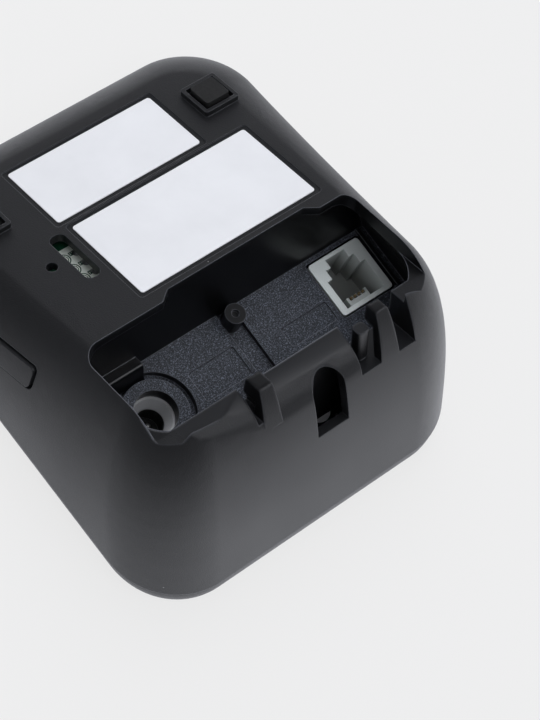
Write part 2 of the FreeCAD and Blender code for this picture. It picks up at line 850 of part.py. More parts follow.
power_hook = common("power_hook", case_outside, power_hook_profile, power_hook_taper)
cord_peg = plate(
    "cord_peg", LEVEL,
    rounded(
        "finger_left - peg_gap - peg_side", "peg_side",
        "tip_edge - 3 / 4 * peg_side", "peg_side", "peg_round",
    ),
    "notch_bottom - peg_high", "notch_bottom + tray_thick / 2",
)
post_along = f"(post_radius + panel_thick / 2 * cos({SLOPE}) - post_high * sin({SLOPE}) / 2)"
panel_post = cut(
    "panel_post",
    rod(
        "panel_post_body", PANEL, "groove_left + groove_wide / 2", post_along,
        "-post_high", "post_radius", "post_high + groove_deep + panel_thick / 4",
    ),
    rod(
        "panel_post_dimple", PANEL, "groove_left + groove_wide / 2", post_along,
        "-post_high", "post_dimple", "post_dimple",
    ),
)
ledge = common("ledge", case_outside, side_prism("ledge_profile", [
    ("pocket_front - partition_thick / 2", "panel_front_high - ledge_high"),
    ("pocket_front + ledge_out", "panel_front_high - ledge_high", "ledge_round"),
    ("pocket_front + ledge_out", f"{on_panel('pocket_front + ledge_out')} + panel_thick / 2"),
    ("pocket_front - partition_thick / 2", f"panel_front_high + panel_thick / 2"),
], "-case_half_front", "ledge_right"))
frame_right = "line_jack_left + line_jack_wide + jack_gap"
socket_frame = block(
    "socket_frame", PANEL, frame_right, "frame_wide",
    "0", "line_jack_front + line_jack_long + jack_gap", "-frame_high",
    "frame_high + panel_thick / 2",
)
foot_rim_right = plate(
    "foot_rim_right", LEVEL,
    rounded(
        "foot_middle - foot_rim / 2", "foot_rim", "foot_along - foot_rim / 2", "foot_rim",
        "foot_corner",
    ),
    "case_bottom - foot_rim_high", "case_bottom + floor_thick / 2",
)
foot_rim_space = plate(
    "foot_rim_space", LEVEL,
    rounded(
        "foot_middle - foot_rim / 2 + foot_rim_wall", "(foot_rim - 2 * foot_rim_wall)",
        "foot_along - foot_rim / 2 + foot_rim_wall", "(foot_rim - 2 * foot_rim_wall)",
        "foot_corner / 2",
    ),
    "0", "case_bottom",
)
foot_space = join("foot_space", foot_rim_space, foot_recess)
case_built = join(
    "case_built", case_cut, finger, power_hook, cord_peg, panel_post, ledge, socket_frame,
    foot_rim_right, mirrored("foot_rim_left", foot_rim_right),
)
lower_case = cut("lower_case", case_built, foot_space, mirrored("foot_space_left", foot_space))

# Top moulding with its locating skirt, cradle well and contact slots
lid_outside = lid("lid_outside", "0")
lid_inside = lid("lid_inside", "cover_wall")
lid_shell = cut("lid_shell", lid_outside, lid_inside)
skirt_out = "(case_wall + skirt_gap)"
skirt_in = "(case_wall + skirt_gap + skirt_wall)"
skirt_edges = []
for number, inset in enumerate((skirt_out, skirt_in)):
    skirt_edges.append(loft(f"skirt_edge_{number}", [
        sloped_outline(f"skirt_foot_{number}", inset, f"({SEAM_OFF} - skirt_deep)"),
        sloped_outline(f"skirt_root_{number}", inset, f"({SEAM_OFF} + cover_wall)"),
    ]))
skirt = cut("skirt", *skirt_edges)
well_tub_block = plate(
    "well_tub_block", WELL,
    rounded(
        "-well_wide / 2 - well_wall", "(well_wide + 2 * well_wall)",
        "-well_long / 2 - well_wall", "(well_long + 2 * well_wall)", "well_corner + well_wall",
    ),
    "-well_wall", "2 * well_long",
)
well_tub = common("well_tub", well_tub_block, join("well_limits", lid_outside, case_inside))
well_space = plate(
    "well_space", WELL,
    rounded("-well_wide / 2", "well_wide", "-well_long / 2", "well_long", "well_corner"),
    "0", "2 * well_long",
)
contact_slots = []
for side in (-1, 1):
    contact_slots.append(block(
        f"contact_slot_{side + 1}", WELL,
        f"{side} * contact_apart / 2 - contact_wide / 2 - contact_slot_gap",
        "contact_wide + 2 * contact_slot_gap",
        "-contact_long / 2 - contact_slot_gap", "contact_long + 2 * contact_slot_gap",
        "-2 * well_wall", "3 * well_wall",
    ))
top_cover = cut(
    "top_cover", join("cover_body", lid_shell, skirt, well_tub), well_space, *contact_slots,
)

# Circuit boards
front_board_holes = []
for side in (-1, 1):
    for row, along in (("front", "front_post_front"), ("rear", "front_post_rear")):
        front_board_holes.append(rod(
            f"front_board_hole_{row}_{side + 1}", LEVEL, f"{side} * front_post_side", along,
            "front_board_high - board_thick", "screw_shank", "3 * board_thick",
        ))
front_board_cut = block(
    "front_board_cut", LEVEL, "board_cut_left", "board_cut_wide",
    "board_cut_front", "board_cut_long", "front_board_high - board_thick", "3 * board_thick",
)
front_board = cut(
    "front_board",
    plate("front_board_plate", LEVEL, [
        ("-front_board_half", "front_board_front", "front_board_corner"),
        ("front_board_half", "front_board_front", "front_board_corner"),
        ("front_board_half", "front_board_rear", "foot_corner"),
        ("-front_board_half", "front_board_rear", "foot_corner"),
    ], "front_board_high", "front_board_high + board_thick"),
    front_board_cut,
    *front_board_holes,
)
rear_board_holes = []
for number, (across, along) in enumerate(REAR_POSTS):
    rear_board_holes.append(rod(
        f"rear_board_hole_{number}", PANEL, across, along,
        "rear_board_off - board_thick", "screw_shank", "3 * board_thick",
    ))
rear_board = cut(
    "rear_board",
    plate("rear_board_plate", PANEL, rounded(
        "rear_board_left", "(rear_board_right - rear_board_left)",
        "rear_board_front", "rear_board_long", "rear_board_corner",
    ), "rear_board_off", "rear_board_off + board_thick"),
    *rear_board_holes,
)


def screw(name, frame, across, along, under_head):
    """Cross-head screw with its head on a board."""
    shank = rod(
        f"{name}_shank", frame, across, along, f"{under_head} - board_thick - screw_bite",
        "screw_shank", f"board_thick + screw_bite + screw_head_high / 2",
    )
    head = rod(f"{name}_head", frame, across, along, under_head, "screw_head", "screw_head_high")
    cross = []
    for number, (wide, long_) in enumerate((
        ("screw_cross_long", "screw_cross"), ("screw_cross", "screw_cross_long"),
    )):
        cross.append(block(
            f"{name}_cross_{number}", frame, f"{across} - {wide} / 2", wide,
            f"{along} - {long_} / 2", long_,
            f"{under_head} + screw_head_high / 2", "screw_head_high",
        ))
    return cut(name, join(f"{name}_body", shank, head), *cross)


front_board_top = "front_board_high + board_thick"
rear_board_back = "rear_board_off + board_thick"
screws = []
for side, word in ((-1, "left"), (1, "right")):
    for row, along in (("front", "front_post_front"), ("rear", "front_post_rear")):
        screws.append(screw(
            f"board_screw_{row}_{word}", LEVEL, f"{side} * front_post_side", along,
            front_board_top,
        ))
for word, (across, along) in zip(("left", "right"), REAR_POSTS):
    screws.append(screw(f"socket_board_screw_{word}", PANEL, across, along, rear_board_back))

# Telephone line socket: stepped mouth for the plug and its latch, comb and contact wires
jack_middle = "(line_jack_left + line_jack_wide / 2)"
jack_end = "(line_jack_front + line_jack_long)"
plug_front = f"({jack_end} - plug_rear_wall - plug_thick)"
jack_block = plate(
    "jack_block", PANEL,
    rounded(
        "line_jack_left", "line_jack_wide", "line_jack_front", "line_jack_long",
        "line_jack_round",
    ),
    "0", "rear_board_off",
)
plug_space = block(
    "plug_space", PANEL, f"{jack_middle} - plug_wide / 2", "plug_wide",
    plug_front, "plug_thick", "-plug_deep", "2 * plug_deep",
)
latch_space = block(
    "latch_space", PANEL, f"{jack_middle} - latch_wide / 2", "latch_wide",
    f"{plug_front} - latch_thick", "latch_thick + plug_thick / 2", "-plug_deep", "2 * plug_deep",
)
latch_key = block(
    "latch_key", PANEL, f"{jack_middle} - latch_key_wide / 2", "latch_key_wide",
    f"{plug_front} - latch_thick - latch_key_thick", "latch_key_thick + latch_thick",
    "-plug_deep", "2 * plug_deep",
)
comb_front = f"({jack_end} - plug_rear_wall - comb_thick)"
comb_block = block(
    "comb_block", PANEL, f"{jack_middle} - comb_wide / 2", "comb_wide",
    comb_front, f"comb_thick + plug_rear_wall / 2", "comb_back", "plug_deep - comb_back / 2",
)
wire_along = f"({comb_front} + part_gap)"
wire_gap = "(wire_size + 2 * part_gap)"
wire_cuts = []
for number in range(int(value("wire_count"))):
    across = f"{jack_middle} + ({number} - (wire_count - 1) / 2) * wire_pitch - {wire_gap} / 2"
    wire_cuts.append(block(
        f"wire_cut_{number}", PANEL, across, wire_gap,
        f"{comb_front} - part_gap", f"{wire_gap} + part_gap",
        "-plug_deep", "3 * plug_deep",
    ))
wire_cuts.append(block(
    "wire_bar_cut", PANEL, f"{jack_middle} - comb_wide / 2 - part_gap", "comb_wide + 2 * part_gap",
    f"{wire_along} - part_gap", wire_gap, "rear_board_off - wire_size - part_gap", "2 * wire_size",
))
line_jack = cut(
    "line_jack",
    join("jack_body", cut("jack_shell", jack_block, plug_space, latch_space, latch_key), comb_block),
    *wire_cuts,
)
wires = []
for number in range(int(value("wire_count"))):
    across = f"{jack_middle} + ({number} - (wire_count - 1) / 2) * wire_pitch - wire_size / 2"
    wires.append(block(
        f"wire_{number}", PANEL, across, "wire_size", wire_along, "wire_size",
        "comb_back - wire_size", "rear_board_off - comb_back + wire_size",
    ))
wire_bar = block(
    "wire_bar", PANEL, f"{jack_middle} - comb_wide / 2", "comb_wide",
    wire_along, "wire_size", "rear_board_off - wire_size", "wire_size",
)
line_jack_contacts = join("line_jack_contacts", wire_bar, *wires)

# Power socket: square body, mouth with a light cone and the centre pin
power_body_front = "(collar_deep + collar_back + part_gap)"
power_body = block(
    "power_body", PANEL, "power_jack_middle - power_jack_side / 2", "power_jack_side",
    "power_jack_along - power_jack_side / 2", "power_jack_side",
    power_body_front, f"rear_board_off - {power_body_front}",
)
power_cone = cone(
    "power_cone", PANEL, "power_jack_middle", "power_jack_along",
    power_body_front, "cone_mouth", "power_hole", "cone_deep",
)
power_bore = rod(
    "power_bore", PANEL, "power_jack_middle", "power_jack_along",
    power_body_front, "power_hole", f"power_hole_end - {power_body_front}",
)
power_jack = cut("power_jack", power_body, power_cone, power_bore)
pin_shaft = rod(
    "pin_shaft", PANEL, "power_jack_middle", "power_jack_along",
    "power_pin_tip", "power_pin", "power_hole_end - power_pin_tip",
)
pin_tip = doc.addObject("Part::Sphere", "pin_tip")
bind(pin_tip, Radius="power_pin")
place(pin_tip, PANEL, "power_jack_middle", "power_jack_along", "power_pin_tip")
power_jack_pin = join("power_jack_pin", pin_shaft, pin_tip)

# Locator button: a piece of the case's own skin on a flange, pressing on the switch
button_face = cut(
    "button_face",
    common("button_skin", case_outside, side_prism(
        "button_outline",
        rounded(
            "button_front + button_gap", "(button_long - 2 * button_gap)",
            "button_low + button_gap", "(button_high - 2 * button_gap)",
            "button_corner - button_gap / 2",
        ),
        "-2 * case_half_front", "-case_half_front / 2",
    )),
    bowl("button_inside", "(case_wall + flange_gap + flange_thick)", "(case_bottom + floor_thick)"),
)
flange_outside = bowl(
    "flange_outside", "(case_wall + flange_gap + button_proud)", "(case_bottom + floor_thick)",
)
flange_inside = bowl(
    "flange_inside", "(case_wall + flange_gap + button_proud + flange_thick)",
    "(case_bottom + floor_thick)",
)
button_flange = cut(
    "button_flange",
    common("flange_skin", flange_outside, side_prism(
        "flange_outline",
        rounded(
            "button_front - flange_lap", "(button_long + 2 * flange_lap)",
            "button_low - flange_lap / 2", "(button_high + flange_lap)", "button_corner",
        ),
        "-2 * case_half_front", "-case_half_front / 2",
    )),
    flange_inside,
)
switch_middle = "(button_front + button_long / 2)"
switch_level = "(button_low + button_high / 2)"
plunger_tip = "(switch_left - plunger_out)"
button_stem = common(
    "button_stem", flange_outside, block(
        "button_stem_block", LEVEL, "-case_half_front", f"case_half_front + {plunger_tip} + button_proud",
        f"{switch_middle} - stem_wide / 2", "stem_wide",
        f"{switch_level} - stem_high / 2", "stem_high",
    ),
)
locator_button = join("locator_button", button_face, button_flange, button_stem)
bind(locator_button, Placement__Base__x="-button_proud")
switch_block = block(
    "switch_block", LEVEL, "switch_left", "switch_side - plunger_out",
    f"{switch_middle} - switch_side / 2", "switch_side",
    front_board_top, f"{switch_level} + switch_high / 2 - ({front_board_top})",
)


def level_rod(name, across, radius, long_):
    """Rod along X at the switch's height."""
    cylinder = doc.addObject("Part::Cylinder", name)
    cylinder.Placement = FreeCAD.Placement(Vector(0, 0, 0), Rotation(Vector(0, 1, 0), 90))
    bind(
        cylinder, Radius=radius, Height=long_, Placement__Base__x=across,
        Placement__Base__y=switch_middle, Placement__Base__z=switch_level,
    )
    return cylinder


tact_switch = cut("tact_switch", switch_block, level_rod(
    "switch_bore", "switch_left - part_gap", "plunger_radius + part_gap",
    "part_gap + plunger_in + button_travel + part_gap",
))
switch_plunger = level_rod(
    "switch_plunger", plunger_tip, "plunger_radius", "plunger_out + plunger_in",
)

# Charging contacts: bent springs that rise through the well's floor, and their holder
contacts = []
under_floor = "(-well_wall)"
spring_low = f"({under_floor} - contact_travel - contact_thick - contact_slot_gap)"
bend_front = "(-contact_long / 2 + contact_thick)"
bend_rear = "(contact_long / 2 - contact_thick)"
for side, word in ((-1, "left"), (1, "right")):
    arch = outline(f"{word}_contact_outline", [
        (bend_front, spring_low),
        (f"{bend_front} + contact_thick", spring_low),
        (f"{bend_front} + 2 * contact_thick", "0", "contact_thick"),
        ("-contact_long / 6 + contact_thick / 2", "contact_up - contact_thick", "contact_thick"),
        ("contact_long / 6 - contact_thick / 2", "contact_up - contact_thick", "contact_thick"),
        (f"{bend_rear} - 2 * contact_thick", "0", "contact_thick"),
        (f"{bend_rear} - contact_thick", spring_low),
        (bend_rear, spring_low),
        (f"{bend_rear} - contact_thick", "contact_thick / 2", "2 * contact_thick"),
        ("contact_long / 6", "contact_up", "2 * contact_thick"),
        ("-contact_long / 6", "contact_up", "2 * contact_thick"),
        (f"{bend_front} + contact_thick", "contact_thick / 2", "2 * contact_thick"),
    ])
    arch.Placement = FreeCAD.Placement(Vector(0, 0, 0), Rotation(Vector(1, 1, 1), 120))
    strip = extrude(
        f"charge_contact_{word}", arch,
        f"{side} * contact_apart / 2 - contact_wide / 2",
        f"{side} * contact_apart / 2 + contact_wide / 2",
    )
    contacts.append(place(strip, WELL))
holder_wide = "(contact_apart + contact_wide + 2 * holder_side)"
holder_low = "(-well_wall - holder_deep)"
holder_block = block(
    "holder_block", WELL, f"-{holder_wide} / 2", holder_wide,
    "-holder_long / 2", "holder_long", holder_low, "holder_deep",
)
holder_pockets = []
for side in (-1, 1):
    holder_pockets.append(block(
        f"holder_pocket_{side + 1}", WELL,
        f"{side} * contact_apart / 2 - contact_wide / 2 - contact_slot_gap",
        "contact_wide + 2 * contact_slot_gap",
        "-contact_long / 2 - contact_slot_gap", "contact_long + 2 * contact_slot_gap",
        f"{holder_low} + holder_floor", "holder_deep",
    ))
contact_holder = cut("contact_holder", holder_block, *holder_pockets)

# Labels and feet
labels = []
for label in ("serial", "rating"):
    labels.append(plate(
        f"{label}_label", LEVEL,
        rounded(f"{label}_left", f"{label}_wide", f"{label}_front", f"{label}_long", "foot_corner"),
        "case_bottom + label_sunk - label_thick", "case_bottom + label_sunk",
    ))
foot_pad_right = plate(
    "foot_pad_right", LEVEL,
    rounded(
        "foot_middle - foot_pad / 2", "foot_pad", "foot_along - foot_pad / 2", "foot_pad",
        "foot_corner",
    ),
    "0", "case_bottom + foot_sunk",
)
foot_pad_left = mirrored("foot_pad_left", foot_pad_right)

# Parts on the boards
radio_shield = block(
    "radio_shield", LEVEL, "shield_left", "shield_wide", "shield_front", "shield_long",
    front_board_top, "shield_high",
)
processor_chip = block(
    "processor_chip", LEVEL, "chip_left", "chip_side", "chip_front", "chip_side",
    front_board_top, "chip_high",
)
supply_capacitor = rod(
    "supply_capacitor", PANEL, "can_across", "can_along", "rear_board_off - can_high",
    "can_radius", "can_high",
)
line_relay = block(
    "line_relay", PANEL, "relay_left", "relay_wide", "relay_front", "relay_long",
    "rear_board_off - relay_high", "relay_high",
)
NODES = [
    lower_case, top_cover, front_board, rear_board, line_jack, line_jack_contacts,
    power_jack, power_jack_pin, locator_button, tact_switch, switch_plunger, *contacts, contact_holder,
    *labels, foot_pad_left, foot_pad_right, radio_shield, processor_chip,
    supply_capacitor, line_relay, *screws,
]

doc.recompute()
failed = [thing.Name for thing in doc.Objects if {"Invalid", "Error"} & set(thing.State)]
if failed:
    raise RuntimeError("failed: " + ", ".join(failed))
os.makedirs("parts", exist_ok=True)
for node in NODES:
    node.Label = node.Name
    shape = node.Shape
    if shape.isNull() or not shape.isValid():
        raise RuntimeError("bad shape: " + node.Name)
    shape.exportStep(os.path.join("parts", node.Name + ".step"))
    print(node.Name, len(shape.Solids), round(shape.Volume, 1), shape.BoundBox)
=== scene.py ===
"""Looks of the charging base: plastics, labels, sockets, boards and what is soldered on them."""
import math

import bmesh
import bpy
from mathutils import Matrix, Vector


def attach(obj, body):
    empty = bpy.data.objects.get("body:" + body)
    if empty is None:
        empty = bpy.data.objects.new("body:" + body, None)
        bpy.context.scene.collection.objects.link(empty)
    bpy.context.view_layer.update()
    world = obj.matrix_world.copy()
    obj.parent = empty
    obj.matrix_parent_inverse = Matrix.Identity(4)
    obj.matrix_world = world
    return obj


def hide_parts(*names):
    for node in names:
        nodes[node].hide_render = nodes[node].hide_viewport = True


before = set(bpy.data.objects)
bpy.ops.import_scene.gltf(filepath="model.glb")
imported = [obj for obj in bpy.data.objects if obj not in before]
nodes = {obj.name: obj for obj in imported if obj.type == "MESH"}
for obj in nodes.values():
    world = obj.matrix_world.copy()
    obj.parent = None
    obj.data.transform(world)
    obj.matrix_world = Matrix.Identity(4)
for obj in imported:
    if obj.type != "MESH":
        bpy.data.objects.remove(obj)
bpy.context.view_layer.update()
scene = bpy.context.scene

MM = 0.001
# The pocket's panel: where it starts over the feet and how it slopes up to the rear
PANEL_START = Vector((0.0, 11.1, 18.05)) * MM
SLOPE = math.radians(22.4)
PANEL_ALONG = Vector((0.0, math.cos(SLOPE), math.sin(SLOPE)))
PANEL_UP = Vector((0.0, -math.sin(SLOPE), math.cos(SLOPE)))
# Millimetres over the panel's plane: the cover's top and the face of the rear board
COVER_TOP = 20.04
REAR_BOARD_FACE = 12.0
# Millimetres over the feet: the front board's underside
BOARD_UNDER = 6.4
# The power socket on the panel, in millimetres: its middle and the radius of its bore
SOCKET_ACROSS = -21.6
SOCKET_ALONG = 10.06
SOCKET_BORE = 2.95
BASE_MIDDLE = Vector((0.0, 0.0, 0.026))

# Tints of the dark plastics and of the lamps
COOL = (0.94, 0.98, 1.10)
BLUISH = (0.86, 0.97, 1.2)
COOL_LIGHT = (0.965, 0.98, 1.04, 1.0)

# Zones that get a finish of their own, in millimetres: from, to and how soft each end is
ZONES = {
    "pocket": {"Y": (10.7, 34.9, 0.1)},
    "pocket_walls": {"X": (-34.6, 38.2, 0.3), "Y": (10.9, 35.2, 0.15)},
    "rim": {"X": (-28.6, 25.7, 0.1), "Y": (34.6, 46.0, 0.15), "Z": (2.8, 16.5, 0.2)},
    "rim_and_hooks": {"X": (-36.0, 28.0, 0.6), "Y": (31.0, 46.0, 0.6), "Z": (1.0, 12.0, 0.6)},
    "printed_field": {"X": (-21.5, -13.6, 0.05), "Y": (-13.1, 1.0, 0.05)},
}
LENGTHWAYS = (0.0, 1.0, 0.0)
SIDEWAYS = (1.0, 0.0, 0.0)
DOWN = (0.0, 0.0, -1.0)


def on_panel(across, reach, up):
    """Point over the pocket's panel: how far across, up its slope and over it, in millimetres."""
    beside = PANEL_START + Vector((across, 0, 0)) * MM
    return beside + (PANEL_ALONG * reach + PANEL_UP * up) * MM


def place_camera():
    """Camera of the photograph: the base lies on its top, seen from the rear left and below."""
    right = Vector((0.76314, 0.64591, -0.02021))
    down = Vector((-0.48256, 0.59038, 0.64699))
    forward = Vector((0.42983, -0.48399, 0.76223))
    eye = Vector((-0.1869, 0.2389, -0.3163))
    camera = bpy.data.objects.new("camera", bpy.data.cameras.new("camera"))
    camera.data.lens = 113.29
    camera.data.sensor_width = 36.0
    camera.data.clip_start = 0.01
    camera.data.clip_end = 20.0
    turned_to = Matrix((right, -down, -forward)).transposed().to_4x4()
    turned_to.translation = eye
    camera.matrix_world = turned_to
    scene.collection.objects.link(camera)
    scene.camera = camera
    scene.view_settings.view_transform = "Standard"


place_camera()


# Node helpers
def add(tree, kind, inputs=None, **settings):
    """New node; each input is given a number, a colour or the socket that feeds it."""
    node = tree.nodes.new(kind)
    for key, setting in settings.items():
        setattr(node, key, setting)
    for key, given in (inputs or {}).items():
        if isinstance(given, bpy.types.NodeSocket):
            tree.links.new(given, node.inputs[key])
        else:
            node.inputs[key].default_value = given
    return node


def maths(tree, operation, *terms, clamp=False):
    """Result of one operation on values."""
    node = add(tree, "ShaderNodeMath", dict(enumerate(terms)), operation=operation)
    node.use_clamp = clamp
    return node.outputs[0]


def times(tree, first, *others):
    """Product of values."""
    for other in others:
        first = maths(tree, "MULTIPLY", first, other)
    return first


def plus(tree, first, *others):
    """Sum of values."""
    for other in others:
        first = maths(tree, "ADD", first, other)
    return first


def vectors(tree, operation, first, second=None):
    """Results of one operation on one or two vectors."""
    inputs = {0: first} if second is None else {0: first, 1: second}
    return add(tree, "ShaderNodeVectorMath", inputs, operation=operation).outputs


def along(tree, given, direction):
    """Share of a vector that lies along a direction."""
    return vectors(tree, "DOT_PRODUCT", given, tuple(direction))["Value"]


def mixed(tree, share, first, second):
    """Colour between two others."""
    node = add(tree, "ShaderNodeMix", {0: share, 6: first, 7: second}, data_type="RGBA")
    return node.outputs[2]


def spread(tree, given, low, high, to_low=0.0, to_high=1.0, way="LINEAR"):
    """A value carried from one range to another and held there."""
    inputs = {0: given, 1: low, 2: high, 3: to_low, 4: to_high}
    return add(tree, "ShaderNodeMapRange", inputs, interpolation_type=way).outputs[0]


def past(tree, given, low, high):
    """0 below a length and 1 above another, both in millimetres."""
    return spread(tree, given, low * MM, high * MM)


def between(tree, given, low, high, soft):
    """1 where a length lies between two others, all in millimetres, with soft ends."""
    fall = spread(tree, given, (high - soft) * MM, (high + soft) * MM, 1.0, 0.0)
    return times(tree, past(tree, given, low - soft, low + soft), fall)


def zone(tree, axes, name):
    """1 within a named zone."""
    return times(tree, *[between(tree, axes[axis], *ends) for axis, ends in ZONES[name].items()])


def noise(tree, at, scale, detail=2.0, roughness=0.5):
    """Soft random values, by their number per metre."""
    inputs = {"Vector": at, "Scale": scale, "Detail": detail, "Roughness": roughness}
    return add(tree, "ShaderNodeTexNoise", inputs).outputs["Fac"]


def widened(tree, given):
    """Most of a noise lies near its middle: carries it over the whole range."""
    return spread(tree, given, 0.3, 0.7)


def grey(level, tint=(1.0, 1.0, 1.0)):
    """Colour of one level, with a tint."""
    return (level * tint[0], level * tint[1], level * tint[2], 1.0)


# Effects that several finishes share
def effect(name, inputs, outputs):
    """Empty shader group with named sockets."""
    tree = bpy.data.node_groups.new(name, "ShaderNodeTree")
    kinds = {"vector": "NodeSocketVector", "value": "NodeSocketFloat"}
    for label, (kind, start) in inputs.items():
        socket = tree.interface.new_socket(label, in_out="INPUT", socket_type=kinds[kind])
        if start is not None:
            socket.default_value = start
    for label, kind in outputs.items():
        tree.interface.new_socket(label, in_out="OUTPUT", socket_type=kinds[kind])
    given = tree.nodes.new("NodeGroupInput").outputs
    result = tree.nodes.new("NodeGroupOutput").inputs
    return tree, given, result


def make_moulded_grain():
    """Fine spark-eroded texture of a mould, and wide soft patches of shade."""
    patches_per_metre = 45.0
    tree, given, result = effect(
        "moulded_grain",
        {"Vector": ("vector", None), "Grains per metre": ("value", 3000.0)},
        {"Height": "value", "Shade": "value"},
    )
    fine = noise(tree, given["Vector"], given["Grains per metre"], detail=3.0, roughness=0.6)
    wide = noise(tree, given["Vector"], patches_per_metre)
    tree.links.new(widened(tree, fine), result["Height"])
    tree.links.new(widened(tree, wide), result["Shade"])
    return tree


def make_speckle():
    """Pale flecks, painted as highlights where the tops of a coarse mould texture catch the light.
    """
    highest_start, share_weight, rise = 0.66, 0.25, 0.13
    tree, given, result = effect(
        "speckle",
        {"Vector": ("vector", None), "Flecks per metre": ("value", 2600.0),
         "Share": ("value", 0.5)},
        {"Mask": "value", "Height": "value"},
    )
    flecks = noise(tree, given["Vector"], given["Flecks per metre"], detail=4.0, roughness=0.72)
    start = maths(tree, "SUBTRACT", highest_start, times(tree, given["Share"], share_weight))
    tree.links.new(spread(tree, flecks, start, plus(tree, start, rise)), result["Mask"])
    tree.links.new(flecks, result["Height"])
    return tree


def make_rounded_edges():
    """Rounds the look of sharp edges and finds where they are."""
    tree, given, result = effect(
        "rounded_edges",
        {"Radius": ("value", 0.00025), "Gain": ("value", 3.0)},
        {"Normal": "vector", "Edge": "value"},
    )
    soft = add(tree, "ShaderNodeBevel", {"Radius": given["Radius"]}, samples=6).outputs["Normal"]
    flat = add(tree, "ShaderNodeNewGeometry").outputs["Normal"]
    away = maths(tree, "SUBTRACT", 1.0, vectors(tree, "DOT_PRODUCT", soft, flat)["Value"])
    tree.links.new(soft, result["Normal"])
    tree.links.new(maths(tree, "MULTIPLY", away, given["Gain"], clamp=True), result["Edge"])
    return tree


def make_settled_dust():
    """Few tiny pale specks, each in its own cell."""
    empty_cells = 0.82
    tree, given, result = effect(
        "settled_dust",
        {"Vector": ("vector", None), "Specks per metre": ("value", 220.0),
         "Size": ("value", 0.028)},
        {"Mask": "value"},
    )
    inputs = {"Vector": given["Vector"], "Scale": given["Specks per metre"]}
    cells = add(tree, "ShaderNodeTexVoronoi", inputs).outputs
    near = maths(tree, "LESS_THAN", cells["Distance"], given["Size"])
    lot = add(tree, "ShaderNodeSeparateColor", {0: cells["Color"]}).outputs[0]
    few = maths(tree, "GREATER_THAN", lot, empty_cells)
    tree.links.new(times(tree, near, few), result["Mask"])
    return tree


moulded_grain = make_moulded_grain()
speckle = make_speckle()
rounded_edges = make_rounded_edges()
settled_dust = make_settled_dust()


def use(tree, group, **inputs):
    """Place an effect; an underline in a socket's name stands for a space."""
    given = {key.replace("_", " "): amount for key, amount in inputs.items()}
    node = add(tree, "ShaderNodeGroup", node_tree=group)
    for key, amount in given.items():
        if isinstance(amount, bpy.types.NodeSocket):
            tree.links.new(amount, node.inputs[key])
        else:
            node.inputs[key].default_value = amount
    return node.outputs


# Finishes
def new_finish(name, **sockets):
    """Material with its Principled shader's own numbers set, and the place it is read at."""
    material = bpy.data.materials.new(name)
    material.use_nodes = True
    tree = material.node_tree
    shader = tree.nodes["Principled BSDF"]
    for key, amount in sockets.items():
        shader.inputs[key.replace("_", " ")].default_value = amount
    at = add(tree, "ShaderNodeTexCoord").outputs["Object"]
    return material, tree, shader, at


def coat(tree, shader, colour, rough, relief):
    """Lead the colour, the roughness and a light relief to the shader."""
    tree.links.new(colour, shader.inputs["Base Color"])
    tree.links.new(rough, shader.inputs["Roughness"])
    bump = add(tree, "ShaderNodeBump", relief)
    tree.links.new(bump.outputs["Normal"], shader.inputs["Normal"])


def relief_of(height, depth, strength=1.0, **normal):
    """Inputs of a relief whose depth is in millimetres."""
    return {"Strength": strength, "Distance": depth * MM, "Height": height, **normal}


# What the dark mouldings have in common
SKIN_GRAINS = 3400.0
SKIN_DEPTH = 0.016
PATCH_ROUGHER = 0.05
WORN_SMOOTHER = 0.08


def grained_skin(tree, grain, base):
    """Dark plastic in soft patches, paler on the tops of its grain."""
    darkest, palest, tops, tops_share = 0.86, 1.16, 1.9, 0.35
    patches = mixed(tree, grain["Shade"], grey(base * darkest, COOL), grey(base * palest, COOL))
    return mixed(tree, times(tree, grain["Height"], tops_share), patches, grey(base * tops, COOL))


def dusted(tree, at, colour):
    """Dust on a dark skin."""
    cover, level = 0.55, 0.45
    dust = use(tree, settled_dust, Vector=at)
    return mixed(tree, times(tree, dust["Mask"], cover), colour, grey(level))


def moulded_plastic(name, base, roughness, grains=SKIN_GRAINS):
    """Dark moulded plastic: fine grain, paler edges that are partly rubbed and partly painted
    highlight, a little dust.
    """
    edge_radius, rubbed_and_highlight_share, rubbed_and_highlight_paler = 0.22 * MM, 0.6, 0.05
    material, tree, shader, at = new_finish(name)
    grain = use(tree, moulded_grain, Vector=at, Grains_per_metre=grains)
    edge_look = use(tree, rounded_edges, Radius=edge_radius, Gain=3.0)
    skin = grained_skin(tree, grain, base)
    # Paler edges: partly rubbed, partly painted highlight
    rubbed_and_highlight = times(tree, edge_look["Edge"], rubbed_and_highlight_share)
    rubbed_and_highlight = mixed(tree, rubbed_and_highlight, skin, grey(base + rubbed_and_highlight_paler, COOL))
    rough = plus(tree, times(tree, grain["Shade"], PATCH_ROUGHER), roughness)
    rough = maths(tree, "SUBTRACT", rough, times(tree, edge_look["Edge"], WORN_SMOOTHER))
    relief = relief_of(grain["Height"], SKIN_DEPTH, Normal=edge_look["Normal"])
    coat(tree, shader, dusted(tree, at, rubbed_and_highlight), rough, relief)
    return material


